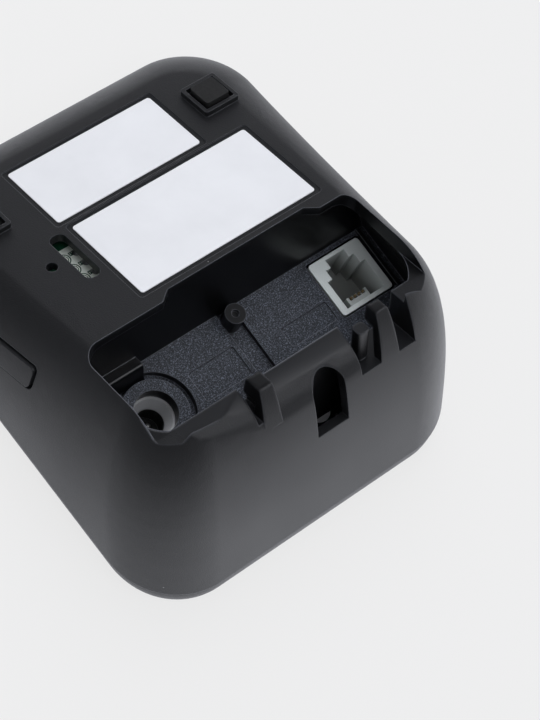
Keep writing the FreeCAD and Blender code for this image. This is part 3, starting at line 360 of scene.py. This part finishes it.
def case_zones(tree, at, flat):
    """Masks of the lower case, with lengths in millimetres."""
    axes = add(tree, "ShaderNodeSeparateXYZ", {0: at}).outputs
    pocket = zone(tree, axes, "pocket")
    # The panel's flat face, with its plates
    over = along(tree, vectors(tree, "SUBTRACT", at, tuple(PANEL_START))[0], PANEL_UP)
    on_face = between(tree, over, -0.5, 3.4, 0.05)
    level = spread(tree, along(tree, flat, -PANEL_UP), 0.93, 0.99)
    panel = times(tree, pocket, on_face, level)
    # Smoother, and painted darker as shade: the pocket's walls, but not the skin beside its ends,
    # which faces away from them
    off_floor = past(tree, axes["Z"], 2.4, 3.2)
    outermost = past(tree, maths(tree, "ABSOLUTE", axes["X"]), 31.0, 33.0)
    faces_away = past(tree, times(tree, axes["X"], along(tree, flat, SIDEWAYS)), 4.0, 8.0)
    not_skin = maths(tree, "SUBTRACT", 1.0, times(tree, outermost, faces_away))
    walls = times(tree, zone(tree, axes, "pocket_walls"), off_floor, not_skin)
    # Smoother and painted darker as shade too: what stands at the pocket's rear, but not where it
    # faces rearwards
    inward = spread(tree, along(tree, flat, LENGTHWAYS), 0.46, 0.58, 1.0, 0.0)
    rim = times(tree, zone(tree, axes, "rim"), inward)
    # Its downward faces above the hooks' ends make a ledge that is painted lighter as light
    faces_down = spread(tree, along(tree, flat, DOWN), 0.8, 0.9)
    lit_ledge = times(tree, rim, faces_down, past(tree, axes["Z"], 6.1, 6.5))
    smooth_shaded = maths(tree, "MAXIMUM", walls, rim)
    # The rim, its hooks and its peg are moulded with softer edges
    return pocket, panel, smooth_shaded, lit_ledge, zone(tree, axes, "rim_and_hooks")


def case_plastic():
    """Outer skin finely grained, the panel coarser with flecks painted as highlights, the walls
    and hooks glossier and painted darker as shade, their downward ledge painted lighter as light.
    """
    # Levels: painted shade on the walls, painted light on the ledge, painted highlights on the
    # flecks and, in part, on the edges
    skin_base, painted_wall_shade, painted_ledge_light = 0.0076, 0.0045, 0.0115
    panel_level, fleck_highlight_level, fleck_highlight_cover = 0.019, 0.24, 0.8
    rubbed_and_highlight_level, rubbed_and_highlight_in_pocket, rubbed_and_highlight_share = 0.1, 0.24, 0.75
    edge_radius, softer_by = 0.3 * MM, 0.4 * MM
    skin_rough, wall_smoother, panel_rougher, fleck_height = 0.46, 0.18, 0.2, 3.0
    material, tree, shader, at = new_finish("case_plastic")
    flat = add(tree, "ShaderNodeNewGeometry").outputs["Normal"]
    pocket, panel, smooth_shaded, lit_ledge, soft_edged = case_zones(tree, at, flat)
    grain = use(tree, moulded_grain, Vector=at, Grains_per_metre=SKIN_GRAINS)
    flecks = use(tree, speckle, Vector=at, Flecks_per_metre=3900.0, Share=0.62)
    rounder = maths(tree, "MULTIPLY_ADD", soft_edged, softer_by, edge_radius)
    gain = maths(tree, "SUBTRACT", 3.0, soft_edged)
    edge_look = use(tree, rounded_edges, Radius=rounder, Gain=gain)
    # Painted shade: the pocket's walls, the rim and the hooks' ends darker than the skin; painted
    # light: the ledge lighter
    painted_shade_and_light = mixed(tree, lit_ledge, grey(painted_wall_shade, COOL), grey(painted_ledge_light, COOL))
    wall = mixed(tree, smooth_shaded, grained_skin(tree, grain, skin_base), painted_shade_and_light)
    # The panel's face, with pale flecks painted as highlights
    fleck_highlight_share = times(tree, flecks["Mask"], fleck_highlight_cover)
    face = mixed(tree, fleck_highlight_share, grey(panel_level, BLUISH), grey(fleck_highlight_level, BLUISH))
    colour = mixed(tree, panel, wall, face)
    # Paler edges, partly rubbed and partly painted highlight, brightest in the pocket
    rubbed_and_highlight = mixed(tree, pocket, grey(rubbed_and_highlight_level, COOL), grey(rubbed_and_highlight_in_pocket, COOL))
    rubbed_and_highlight = mixed(tree, times(tree, edge_look["Edge"], rubbed_and_highlight_share), colour, rubbed_and_highlight)
    rough = plus(tree, times(tree, grain["Shade"], PATCH_ROUGHER), skin_rough)
    rough = maths(tree, "SUBTRACT", rough, times(tree, smooth_shaded, wall_smoother))
    rough = plus(tree, rough, times(tree, panel, panel_rougher))
    rough = maths(tree, "SUBTRACT", rough, times(tree, edge_look["Edge"], WORN_SMOOTHER))
    fine = times(tree, grain["Height"], maths(tree, "SUBTRACT", 1.0, smooth_shaded))
    height = plus(tree, fine, times(tree, flecks["Height"], panel, fleck_height))
    relief = relief_of(height, SKIN_DEPTH, Normal=edge_look["Normal"])
    coat(tree, shader, dusted(tree, at, rubbed_and_highlight), rough, relief)
    return material


def pale_plastic(name, colour, darker, bore=0.0):
    """Pale plastic of the sockets with painted shade: within a bore where one is given, elsewhere
    further in from the panel's face; and a faint flow mark.
    """
    flow_share, rubbed_and_highlight_share, rubbed_and_highlight_level = 0.12, 0.4, 0.75
    roughness, patch_rougher = 0.42, 0.08
    material, tree, shader, at = new_finish(name)
    from_start = vectors(tree, "SUBTRACT", at, tuple(PANEL_START))[0]
    grain = use(tree, moulded_grain, Vector=at, Grains_per_metre=2600.0)
    edge_look = use(tree, rounded_edges, Radius=0.22 * MM, Gain=2.0)
    # Painted shade: darker within a given bore; without one, darker further in from the panel's
    # face
    if bore:
        across = along(tree, from_start, SIDEWAYS)
        reach = along(tree, from_start, PANEL_ALONG)
        apart = add(tree, "ShaderNodeCombineXYZ", {
            0: maths(tree, "SUBTRACT", across, SOCKET_ACROSS * MM),
            1: maths(tree, "SUBTRACT", reach, SOCKET_ALONG * MM),
        }).outputs[0]
        away = vectors(tree, "LENGTH", apart)["Value"]
        painted_shade = spread(tree, away, (bore - 0.02) * MM, (bore + 0.06) * MM, 1.0, 0.0)
    else:
        painted_shade = past(tree, along(tree, from_start, PANEL_UP), 0.2, 7.5)
    # Painted shade laid over the socket's colour
    shaded = mixed(tree, painted_shade, colour, darker)
    flow = mixed(tree, times(tree, grain["Shade"], flow_share), shaded, darker)
    # Paler edges: partly rubbed, partly painted highlight
    rubbed_and_highlight = mixed(tree, times(tree, edge_look["Edge"], rubbed_and_highlight_share), flow, grey(rubbed_and_highlight_level))
    rough = plus(tree, times(tree, grain["Shade"], patch_rougher), roughness)
    relief = relief_of(grain["Height"], 0.01, Normal=edge_look["Normal"])
    coat(tree, shader, rubbed_and_highlight, rough, relief)
    return material


def bare_metal(name, colour, roughness, dark=0.55):
    """Metal with fine drawn lines and dull patches."""
    patches_per_metre, lines_per_metre, drawn_along_y = 900.0, 3600.0, (1.0, 0.12, 1.0)
    dull_below, bright_above, patch_rougher = 0.35, 0.7, 0.2
    material, tree, shader, at = new_finish(name, Metallic=1.0)
    drawn = add(tree, "ShaderNodeMapping", {"Vector": at, "Scale": drawn_along_y}).outputs[0]
    lines = noise(tree, drawn, lines_per_metre)
    patches = noise(tree, at, patches_per_metre, detail=3.0)
    edge_look = use(tree, rounded_edges, Radius=0.1 * MM, Gain=2.0)
    darker = tuple(part * dark for part in colour[:3]) + (1.0,)
    tone = mixed(tree, spread(tree, patches, dull_below, bright_above), darker, colour)
    rough = plus(tree, times(tree, patches, patch_rougher), roughness)
    coat(tree, shader, tone, rough, relief_of(lines, 0.008, 0.6, Normal=edge_look["Normal"]))
    return material


def circuit_board(name):
    """Green mask over copper tracks, with a pale printed field near the floor's slot."""
    dark_mask, mask, weave_tone = (
        (0.004, 0.042, 0.02, 1.0), (0.008, 0.075, 0.034, 1.0), (0.02, 0.12, 0.06, 1.0),
    )
    print_dark, print_pale = (0.78, 0.84, 0.74, 1.0), (0.88, 0.93, 0.85, 1.0)
    weave_share, mask_rough, print_rough = 0.3, 0.3, 0.6
    material, tree, shader, at = new_finish(name)
    axes = add(tree, "ShaderNodeSeparateXYZ", {0: at}).outputs
    inputs = {
        "Vector": at, "Scale": 260.0, "Mortar Size": 0.1, "Mortar Smooth": 0.1,
        "Brick Width": 2.4, "Row Height": 0.55,
    }
    tracks = add(tree, "ShaderNodeTexBrick", inputs).outputs["Fac"]
    weave = noise(tree, at, 2200.0, detail=3.0)
    green = mixed(tree, tracks, mask, dark_mask)
    green = mixed(tree, times(tree, weave, weave_share), green, weave_tone)
    under, over = (BOARD_UNDER + 0.02) * MM, (BOARD_UNDER + 0.06) * MM
    underside = spread(tree, axes["Z"], under, over, 1.0, 0.0)
    field = times(tree, zone(tree, axes, "printed_field"), underside)
    colour = mixed(tree, field, green, mixed(tree, weave, print_dark, print_pale))
    rough = spread(tree, field, 0.0, 1.0, mask_rough, print_rough)
    coat(tree, shader, colour, rough, relief_of(tracks, 0.03, 0.7))
    return material


def plain_finish(name, low, high, mottles, roughness, depth=0.01):
    """Finish between two colours by a soft mottle, with a light texture (depth in millimetres)."""
    mottle_rougher = 0.1
    material, tree, shader, at = new_finish(name)
    mottle = noise(tree, at, mottles, detail=4.0, roughness=0.6)
    edge_look = use(tree, rounded_edges, Radius=0.12 * MM, Gain=2.0)
    colour = mixed(tree, widened(tree, mottle), low, high)
    rough = plus(tree, times(tree, mottle, mottle_rougher), roughness - mottle_rougher / 2)
    coat(tree, shader, colour, rough, relief_of(mottle, depth, Normal=edge_look["Normal"]))
    return material


def can_finish(name):
    """Sleeved can whose bare end faces the floor."""
    sleeve_rough, metal_rough = 0.3, 0.36
    material, tree, shader, at = new_finish(name)
    flat = add(tree, "ShaderNodeNewGeometry").outputs["Normal"]
    bare = spread(tree, along(tree, flat, -PANEL_UP), 0.7, 0.8)
    mottle = noise(tree, at, 500.0, detail=4.0, roughness=0.6)
    sleeve = mixed(tree, mottle, grey(0.012, COOL), grey(0.02, COOL))
    metal = mixed(tree, mottle, grey(0.62), grey(0.8))
    rough = spread(tree, bare, 0.0, 1.0, sleeve_rough, metal_rough)
    coat(tree, shader, mixed(tree, bare, sleeve, metal), rough, relief_of(mottle, 0.01))
    return material


finishes = {
    "case_plastic": case_plastic(),
    "cover_plastic": moulded_plastic("cover_plastic", base=0.009, roughness=0.47),
    "button_plastic": moulded_plastic("button_plastic", base=0.009, roughness=0.43),
    "inner_plastic": moulded_plastic("inner_plastic", base=0.011, roughness=0.4, grains=1800.0),
    # The sockets' second colours are painted shade
    "jack_plastic": pale_plastic(
        "jack_plastic", colour=(0.74, 0.79, 0.765, 1.0), darker=(0.25, 0.26, 0.245, 1.0),
    ),
    "light_plastic": pale_plastic(
        "light_plastic", colour=(0.62, 0.625, 0.63, 1.0), darker=(0.02, 0.021, 0.02, 1.0),
        bore=SOCKET_BORE,
    ),
    "board": circuit_board("board"),
    "board_metal": bare_metal("board_metal", (0.78, 0.79, 0.78, 1.0), roughness=0.28),
    "spring_metal": bare_metal("spring_metal", (0.86, 0.84, 0.78, 1.0), roughness=0.2),
    "wire_metal": bare_metal("wire_metal", (0.92, 0.68, 0.36, 1.0), roughness=0.25),
    "pin_metal": bare_metal("pin_metal", (0.80, 0.80, 0.79, 1.0), roughness=0.2),
    "screw_steel": bare_metal("screw_steel", (0.55, 0.55, 0.56, 1.0), roughness=0.32),
    "can_sleeve": can_finish("can_sleeve"),
    "board_ink": plain_finish(
        "board_ink", (0.004, 0.05, 0.026, 1.0), (0.006, 0.07, 0.036, 1.0), mottles=900.0,
        roughness=0.35,
    ),
    "solder": bare_metal("solder", (0.50, 0.51, 0.52, 1.0), roughness=0.22, dark=0.35),
    "chip_resin": plain_finish(
        "chip_resin", grey(0.008), grey(0.018), mottles=4000.0, roughness=0.6, depth=0.02,
    ),
    "rubber": plain_finish(
        "rubber", grey(0.007), grey(0.016), mottles=1500.0, roughness=0.72, depth=0.03,
    ),
    "label_film": plain_finish(
        "label_film", (0.74, 0.745, 0.75, 1.0), (0.785, 0.79, 0.795, 1.0), mottles=90.0,
        roughness=0.34, depth=0.004,
    ),
}
NODE_FINISHES = {
    "front_board": "board", "rear_board": "board",
    "line_jack": "jack_plastic", "line_jack_contacts": "wire_metal",
    "tact_switch": "board_metal", "switch_plunger": "inner_plastic",
    "contact_holder": "inner_plastic",
    "serial_label": "label_film", "rating_label": "label_film",
    "foot_pad_left": "rubber", "foot_pad_right": "rubber",
    "radio_shield": "board_metal", "processor_chip": "chip_resin", "line_relay": "chip_resin",
}
NODE_FINISHES.update({node: "screw_steel" for node in nodes if "screw" in node})
for node, finish in NODE_FINISHES.items():
    nodes[node].data.materials.clear()
    nodes[node].data.materials.append(finishes[finish])


def finished(name, rough):
    """Plain mesh of an object with its modifiers worked in."""
    depsgraph = bpy.context.evaluated_depsgraph_get()
    mesh = bpy.data.meshes.new_from_object(
        rough.evaluated_get(depsgraph), preserve_all_data_layers=True, depsgraph=depsgraph,
    )
    mesh.name = name
    piece = bpy.data.objects.new(name, mesh)
    scene.collection.objects.link(piece)
    bpy.data.objects.remove(rough)
    return piece


# Curved mouldings: the CAD faces joined up and shaded round
JOINED_WITHIN = 0.0015 * MM
SHARP_FROM = math.radians(32.0)
TURNED_SHARP_FROM = math.radians(50.0)


def rounded_copy(name, node, finish, body):
    """Copy of a CAD node whose facets shade as one curved skin between its sharp edges."""
    mesh = nodes[node].data.copy()
    joined = bmesh.new()
    joined.from_mesh(mesh)
    bmesh.ops.remove_doubles(joined, verts=joined.verts, dist=JOINED_WITHIN)
    joined.to_mesh(mesh)
    joined.free()
    if "custom_normal" in mesh.attributes:
        mesh.attributes.remove(mesh.attributes["custom_normal"])
    mesh.shade_smooth()
    mesh.set_sharp_from_angle(angle=SHARP_FROM)
    mesh.materials.clear()
    mesh.materials.append(finishes[finish])
    rough = bpy.data.objects.new(name + "_rough", mesh)
    scene.collection.objects.link(rough)
    weigh = rough.modifiers.new("faces_weigh", "WEIGHTED_NORMAL")
    weigh.keep_sharp = True
    weigh.weight = 60
    piece = finished(name, rough)
    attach(piece, body)
    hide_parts(node)


rounded_copy("case_moulding", "lower_case", "case_plastic", "base")
rounded_copy("cover_moulding", "top_cover", "cover_plastic", "base")
rounded_copy("button_moulding", "locator_button", "button_plastic", "locator_button")
rounded_copy("power_socket_moulding", "power_jack", "light_plastic", "base")
rounded_copy("power_pin", "power_jack_pin", "pin_metal", "base")
rounded_copy("capacitor_can", "supply_capacitor", "can_sleeve", "base")
for side in ("left", "right"):
    contact = "charge_contact_" + side
    rounded_copy("charging_spring_" + side, contact, "spring_metal", contact)


# What is printed and soldered on the boards, set down by Geometry Nodes on points
def make_repeater():
    """One piece on every point, made real and given its finish."""
    tree = bpy.data.node_groups.new("repeater", "GeometryNodeTree")
    sockets = {"Points": "NodeSocketGeometry", "Piece": "NodeSocketObject",
               "Size": "NodeSocketFloat", "Finish": "NodeSocketMaterial"}
    for label, kind in sockets.items():
        tree.interface.new_socket(label, in_out="INPUT", socket_type=kind)
    tree.interface.new_socket("Pieces", in_out="OUTPUT", socket_type="NodeSocketGeometry")
    given = tree.nodes.new("NodeGroupInput").outputs
    result = tree.nodes.new("NodeGroupOutput").inputs
    piece = add(tree, "GeometryNodeObjectInfo", {"Object": given["Piece"]}).outputs["Geometry"]
    tilt = add(tree, "GeometryNodeInputNamedAttribute", {"Name": "tilt"}, data_type="FLOAT")
    turned_by = add(tree, "ShaderNodeCombineXYZ", {0: tilt.outputs[0]}).outputs[0]
    inputs = {"Points": given["Points"], "Instance": piece, "Rotation": turned_by,
              "Scale": given["Size"]}
    spaced = add(tree, "GeometryNodeInstanceOnPoints", inputs).outputs[0]
    real = add(tree, "GeometryNodeRealizeInstances", {0: spaced}).outputs[0]
    inputs = {"Geometry": real, "Material": given["Finish"]}
    shown = add(tree, "GeometryNodeSetMaterial", inputs).outputs[0]
    tree.links.new(shown, result["Pieces"])
    return tree


repeater = make_repeater()
FLIPPED = math.pi


def repeated(name, mesh, places, finish, tilt=FLIPPED, size=1.0):
    """A mesh set down on every place, turned about the x axis."""
    piece = bpy.data.objects.new(name + "_piece", mesh)
    points = bpy.data.meshes.new(name + "_points")
    points.from_pydata([tuple(place) for place in places], [], [])
    tilts = points.attributes.new("tilt", "FLOAT", "POINT")
    tilts.data.foreach_set("value", [tilt] * len(places))
    rough = bpy.data.objects.new(name + "_rough", points)
    scene.collection.objects.link(rough)
    worker = rough.modifiers.new("repeated", "NODES")
    worker.node_group = repeater
    given = {"Piece": piece, "Size": size, "Finish": finishes[finish]}
    for item in repeater.interface.items_tree:
        if item.in_out == "INPUT" and item.name in given:
            worker[item.identifier] = given[item.name]
    shown = finished(name, rough)
    bpy.data.objects.remove(piece)
    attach(shown, "base")


def turned(name, *profiles, segments=28):
    """Mesh of profiles (radius, height in millimetres) turned about an upright axis."""
    mesh = bpy.data.meshes.new(name)
    made = bmesh.new()
    for profile in profiles:
        rings = []
        for radius, high in profile:
            count = segments if radius > 0.0 else 1
            angles = [2.0 * math.pi * step / segments for step in range(count)]
            rings.append([
                made.verts.new(Vector((radius * math.cos(a), radius * math.sin(a), high)) * MM)
                for a in angles
            ])
        for low, high in zip(rings, rings[1:]):
            for step in range(segments):
                corners = [low[step % len(low)], low[(step + 1) % len(low)],
                           high[(step + 1) % len(high)], high[step % len(high)]]
                made.faces.new(list(dict.fromkeys(corners)))
    bmesh.ops.recalc_face_normals(made, faces=made.faces)
    made.to_mesh(mesh)
    made.free()
    mesh.shade_smooth()
    mesh.set_sharp_from_angle(angle=TURNED_SHARP_FROM)
    return mesh


def ring(radius, wide, thick):
    """Closed profile of a flat ring, in millimetres."""
    inner, outer = radius - wide / 2, radius + wide / 2
    return [(inner, 0.0), (inner, thick), (outer, thick), (outer, 0.0), (inner, 0.0)]


def bars(name, *boxes):
    """Mesh of flat bars (left, right, low, high, thickness in millimetres)."""
    sides = ((0, 1, 2, 3), (4, 5, 6, 7), (0, 1, 5, 4), (1, 2, 6, 5), (2, 3, 7, 6), (3, 0, 4, 7))
    mesh = bpy.data.meshes.new(name)
    made = bmesh.new()
    for left, right, low, high, thick in boxes:
        corners = [
            made.verts.new(Vector((x, y, z)) * MM)
            for z in (0.0, thick)
            for x, y in ((left, low), (right, low), (right, high), (left, high))
        ]
        for face in sides:
            made.faces.new([corners[corner] for corner in face])
    bmesh.ops.recalc_face_normals(made, faces=made.faces)
    made.to_mesh(mesh)
    made.free()
    return mesh


# Solder points in a row along the front board's underside, in millimetres
ROW = (-10.6, -7.4, -4.35)
PADS_ACROSS = -19.6
JOINTS_ACROSS, JOINTS_SHIFT = -16.3, -0.2
MARKS_ACROSS, MARKS_SHIFT = -17.35, -0.5
# Solder dots on the rear board, across and along the panel, in millimetres
DOTS = ((11.2, 27.3), (12.6, 28.4), (13.4, 27.0), (14.9, 28.1), (16.1, 27.2), (17.3, 28.6),
        (18.4, 27.5))
INK = 0.02


def row(across, shift=0.0):
    """Places of the row under the front board."""
    return [Vector((across, place + shift, BOARD_UNDER)) * MM for place in ROW]


pad_rings = turned("pad_rings", ring(1.45, 0.24, INK), ring(1.05, 0.17, INK))
repeated("printed_rings", pad_rings, row(PADS_ACROSS), "board_ink")
pads = turned("pads", [
    (0.8, 0.0), (0.78, 0.03), (0.52, 0.05), (0.36, 0.12), (0.32, 0.75), (0.2, 0.86), (0.0, 0.88),
])
repeated("plated_pads", pads, row(PADS_ACROSS), "board_metal")
joints = turned("joints", [
    (0.95, 0.0), (0.9, 0.1), (0.62, 0.3), (0.42, 0.62), (0.36, 1.05), (0.22, 1.2), (0.0, 1.22),
])
repeated("solder_joints", joints, row(JOINTS_ACROSS, JOINTS_SHIFT), "solder")
# A printed frame with a bar in its middle
mark = bars(
    "mark", (-0.5, 0.5, -0.5, -0.3, INK), (-0.5, 0.5, 0.3, 0.5, INK), (-0.5, -0.3, -0.3, 0.3, INK),
    (0.3, 0.5, -0.3, 0.3, INK), (-0.12, 0.12, -0.3, 0.3, INK + 0.001),
)
repeated("printed_marks", mark, row(MARKS_ACROSS, MARKS_SHIFT), "board_ink")
dots = turned("dots", [(0.42, 0.0), (0.4, 0.08), (0.24, 0.26), (0.0, 0.34)], segments=18)
dot_places = [on_panel(across, reach, REAR_BOARD_FACE) for across, reach in DOTS]
repeated("rear_solder_dots", dots, dot_places, "board_metal", FLIPPED + SLOPE)


# Floor and backdrop
PALE = 0.863
SHEET_RADIUS = 4.0
SHEET_GAP = 0.04


def stage_finish(name, only_steep):
    """Pale surface that only the camera sees, from its front; light passes it, shadows stay."""
    shadow_near, shadow_far, glow_near, mottles = 0.18, 0.75, 0.88, 60.0
    material = bpy.data.materials.new(name)
    material.use_nodes = True
    tree = material.node_tree
    tree.nodes.clear()
    at = add(tree, "ShaderNodeTexCoord").outputs["Object"]
    away = vectors(tree, "LENGTH", at)["Value"]
    tone = mixed(tree, noise(tree, at, mottles), grey(0.85), grey(0.86))
    lit = add(tree, "ShaderNodeBsdfDiffuse", {"Color": tone}).outputs[0]
    glow = add(tree, "ShaderNodeEmission", {"Color": grey(PALE), "Strength": 1.0}).outputs[0]
    share = spread(tree, away, shadow_near, shadow_far, glow_near, 1.0)
    surface = add(tree, "ShaderNodeMixShader", {0: share, 1: lit, 2: glow}).outputs[0]
    rays = add(tree, "ShaderNodeLightPath").outputs
    behind = add(tree, "ShaderNodeNewGeometry").outputs["Backfacing"]
    not_camera = maths(tree, "SUBTRACT", 1.0, rays["Is Camera Ray"])
    unseen = maths(tree, "MAXIMUM", behind, not_camera)
    if only_steep:
        facing = add(tree, "ShaderNodeLayerWeight", {"Blend": 0.5}).outputs["Facing"]
        unseen = maths(tree, "MAXIMUM", unseen, maths(tree, "GREATER_THAN", facing, 0.5))
    clear = add(tree, "ShaderNodeBsdfTransparent").outputs[0]
    shown = add(tree, "ShaderNodeMixShader", {0: unseen, 1: surface, 2: clear}).outputs[0]
    tree.links.new(shown, add(tree, "ShaderNodeOutputMaterial").inputs["Surface"])
    return material


def stage_sheet(name, centre, normal, only_steep):
    """Round sheet about a point, facing along its normal."""
    mesh = bpy.data.meshes.new(name)
    disc = bmesh.new()
    bmesh.ops.create_circle(disc, cap_ends=True, segments=96, radius=SHEET_RADIUS)
    disc.to_mesh(mesh)
    disc.free()
    sheet = bpy.data.objects.new(name, mesh)
    sheet.rotation_mode = "QUATERNION"
    sheet.rotation_quaternion = Vector(normal).to_track_quat("Z", "Y")
    sheet.location = centre
    mesh.materials.append(stage_finish(name, only_steep))
    scene.collection.objects.link(sheet)


stage_sheet("floor", (0.0, 0.0, -SHEET_GAP * MM), (0, 0, 1), only_steep=False)
# Where the base lies on its top, as in the photograph
table = on_panel(0.0, 0.0, COVER_TOP + 0.06)
stage_sheet("table", table, -PANEL_UP, only_steep=True)

# Lights
ROOM_LEVEL = 0.5
BACKDROP_LEVEL = 0.86
# What the gloss mirrors: towards it, where it starts and is full, its least and its most
MIRRORED = {
    "table_side": (PANEL_UP, -0.2, 0.52, 0.16, 1.05),
    "window": (Vector((0.35, 0.25, 0.9)).normalized(), 0.35, 0.98, 0.0, 0.7),
    "strip": (Vector((0.43, 0.56, -0.70)).normalized(), 0.97, 0.985, 0.0, 3.0),
    "rear": (Vector((0.80, 0.45, -0.40)).normalized(), 0.80, 0.98, 0.0, 0.78),
    "front": (Vector((0.55, -0.80, -0.15)).normalized(), 0.70, 0.98, 0.0, 0.7),
}
LAMP_DISTANCE = 0.9
# Soft boxes: towards each, its side in metres and its power
LAMPS = {
    # Over the base as it stands
    "over_front_right": ((0.7, -0.6, 0.9), 0.7, 2.6),
    "over_rear_left": ((-0.8, 0.5, 0.9), 0.7, 1.8),
    # Over the base as it lies on its top
    "under_key": ((0.28, -0.20, -0.94), 0.6, 4.2),
    "under_rear": ((0.0, 0.75, -0.65), 0.5, 1.5),
}


def soft_lamp(name, towards, size, power):
    """Square soft box that looks at the base; the gloss mirrors the room in its place."""
    lamp = bpy.data.lights.new(name, "AREA")
    lamp.shape = "SQUARE"
    lamp.size = size
    lamp.energy = power
    lamp.color = COOL_LIGHT[:3]
    holder = bpy.data.objects.new(name, lamp)
    direction = Vector(towards).normalized()
    holder.location = BASE_MIDDLE + direction * LAMP_DISTANCE
    holder.rotation_mode = "QUATERNION"
    holder.rotation_quaternion = direction.to_track_quat("Z", "Y")
    holder.visible_glossy = False
    scene.collection.objects.link(holder)


def light_room():
    """Pale backdrop for the camera, plain light for the surfaces, bright places for the gloss."""
    world = bpy.data.worlds.new("pale_room")
    scene.world = world
    world.use_nodes = True
    tree = world.node_tree
    tree.nodes.clear()
    rays = add(tree, "ShaderNodeLightPath").outputs
    towards = add(tree, "ShaderNodeTexCoord").outputs["Generated"]
    mirrored = plus(tree, *[
        spread(tree, along(tree, towards, direction), start, full, least, most, "SMOOTHERSTEP")
        for direction, start, full, least, most in MIRRORED.values()
    ])
    more = maths(tree, "SUBTRACT", mirrored, ROOM_LEVEL)
    strength = plus(tree, times(tree, rays["Is Glossy Ray"], more), ROOM_LEVEL)
    pale = maths(tree, "MAXIMUM", rays["Is Camera Ray"], rays["Is Transmission Ray"])
    inputs = {0: pale, 2: strength, 3: BACKDROP_LEVEL}
    strength = add(tree, "ShaderNodeMix", inputs, data_type="FLOAT").outputs[0]
    tint = mixed(tree, pale, COOL_LIGHT, grey(1.0))
    background = add(tree, "ShaderNodeBackground", {"Color": tint, "Strength": strength})
    room = add(tree, "ShaderNodeOutputWorld")
    tree.links.new(background.outputs[0], room.inputs["Surface"])


light_room()
for name, (towards, size, power) in LAMPS.items():
    soft_lamp(name, towards, size, power)
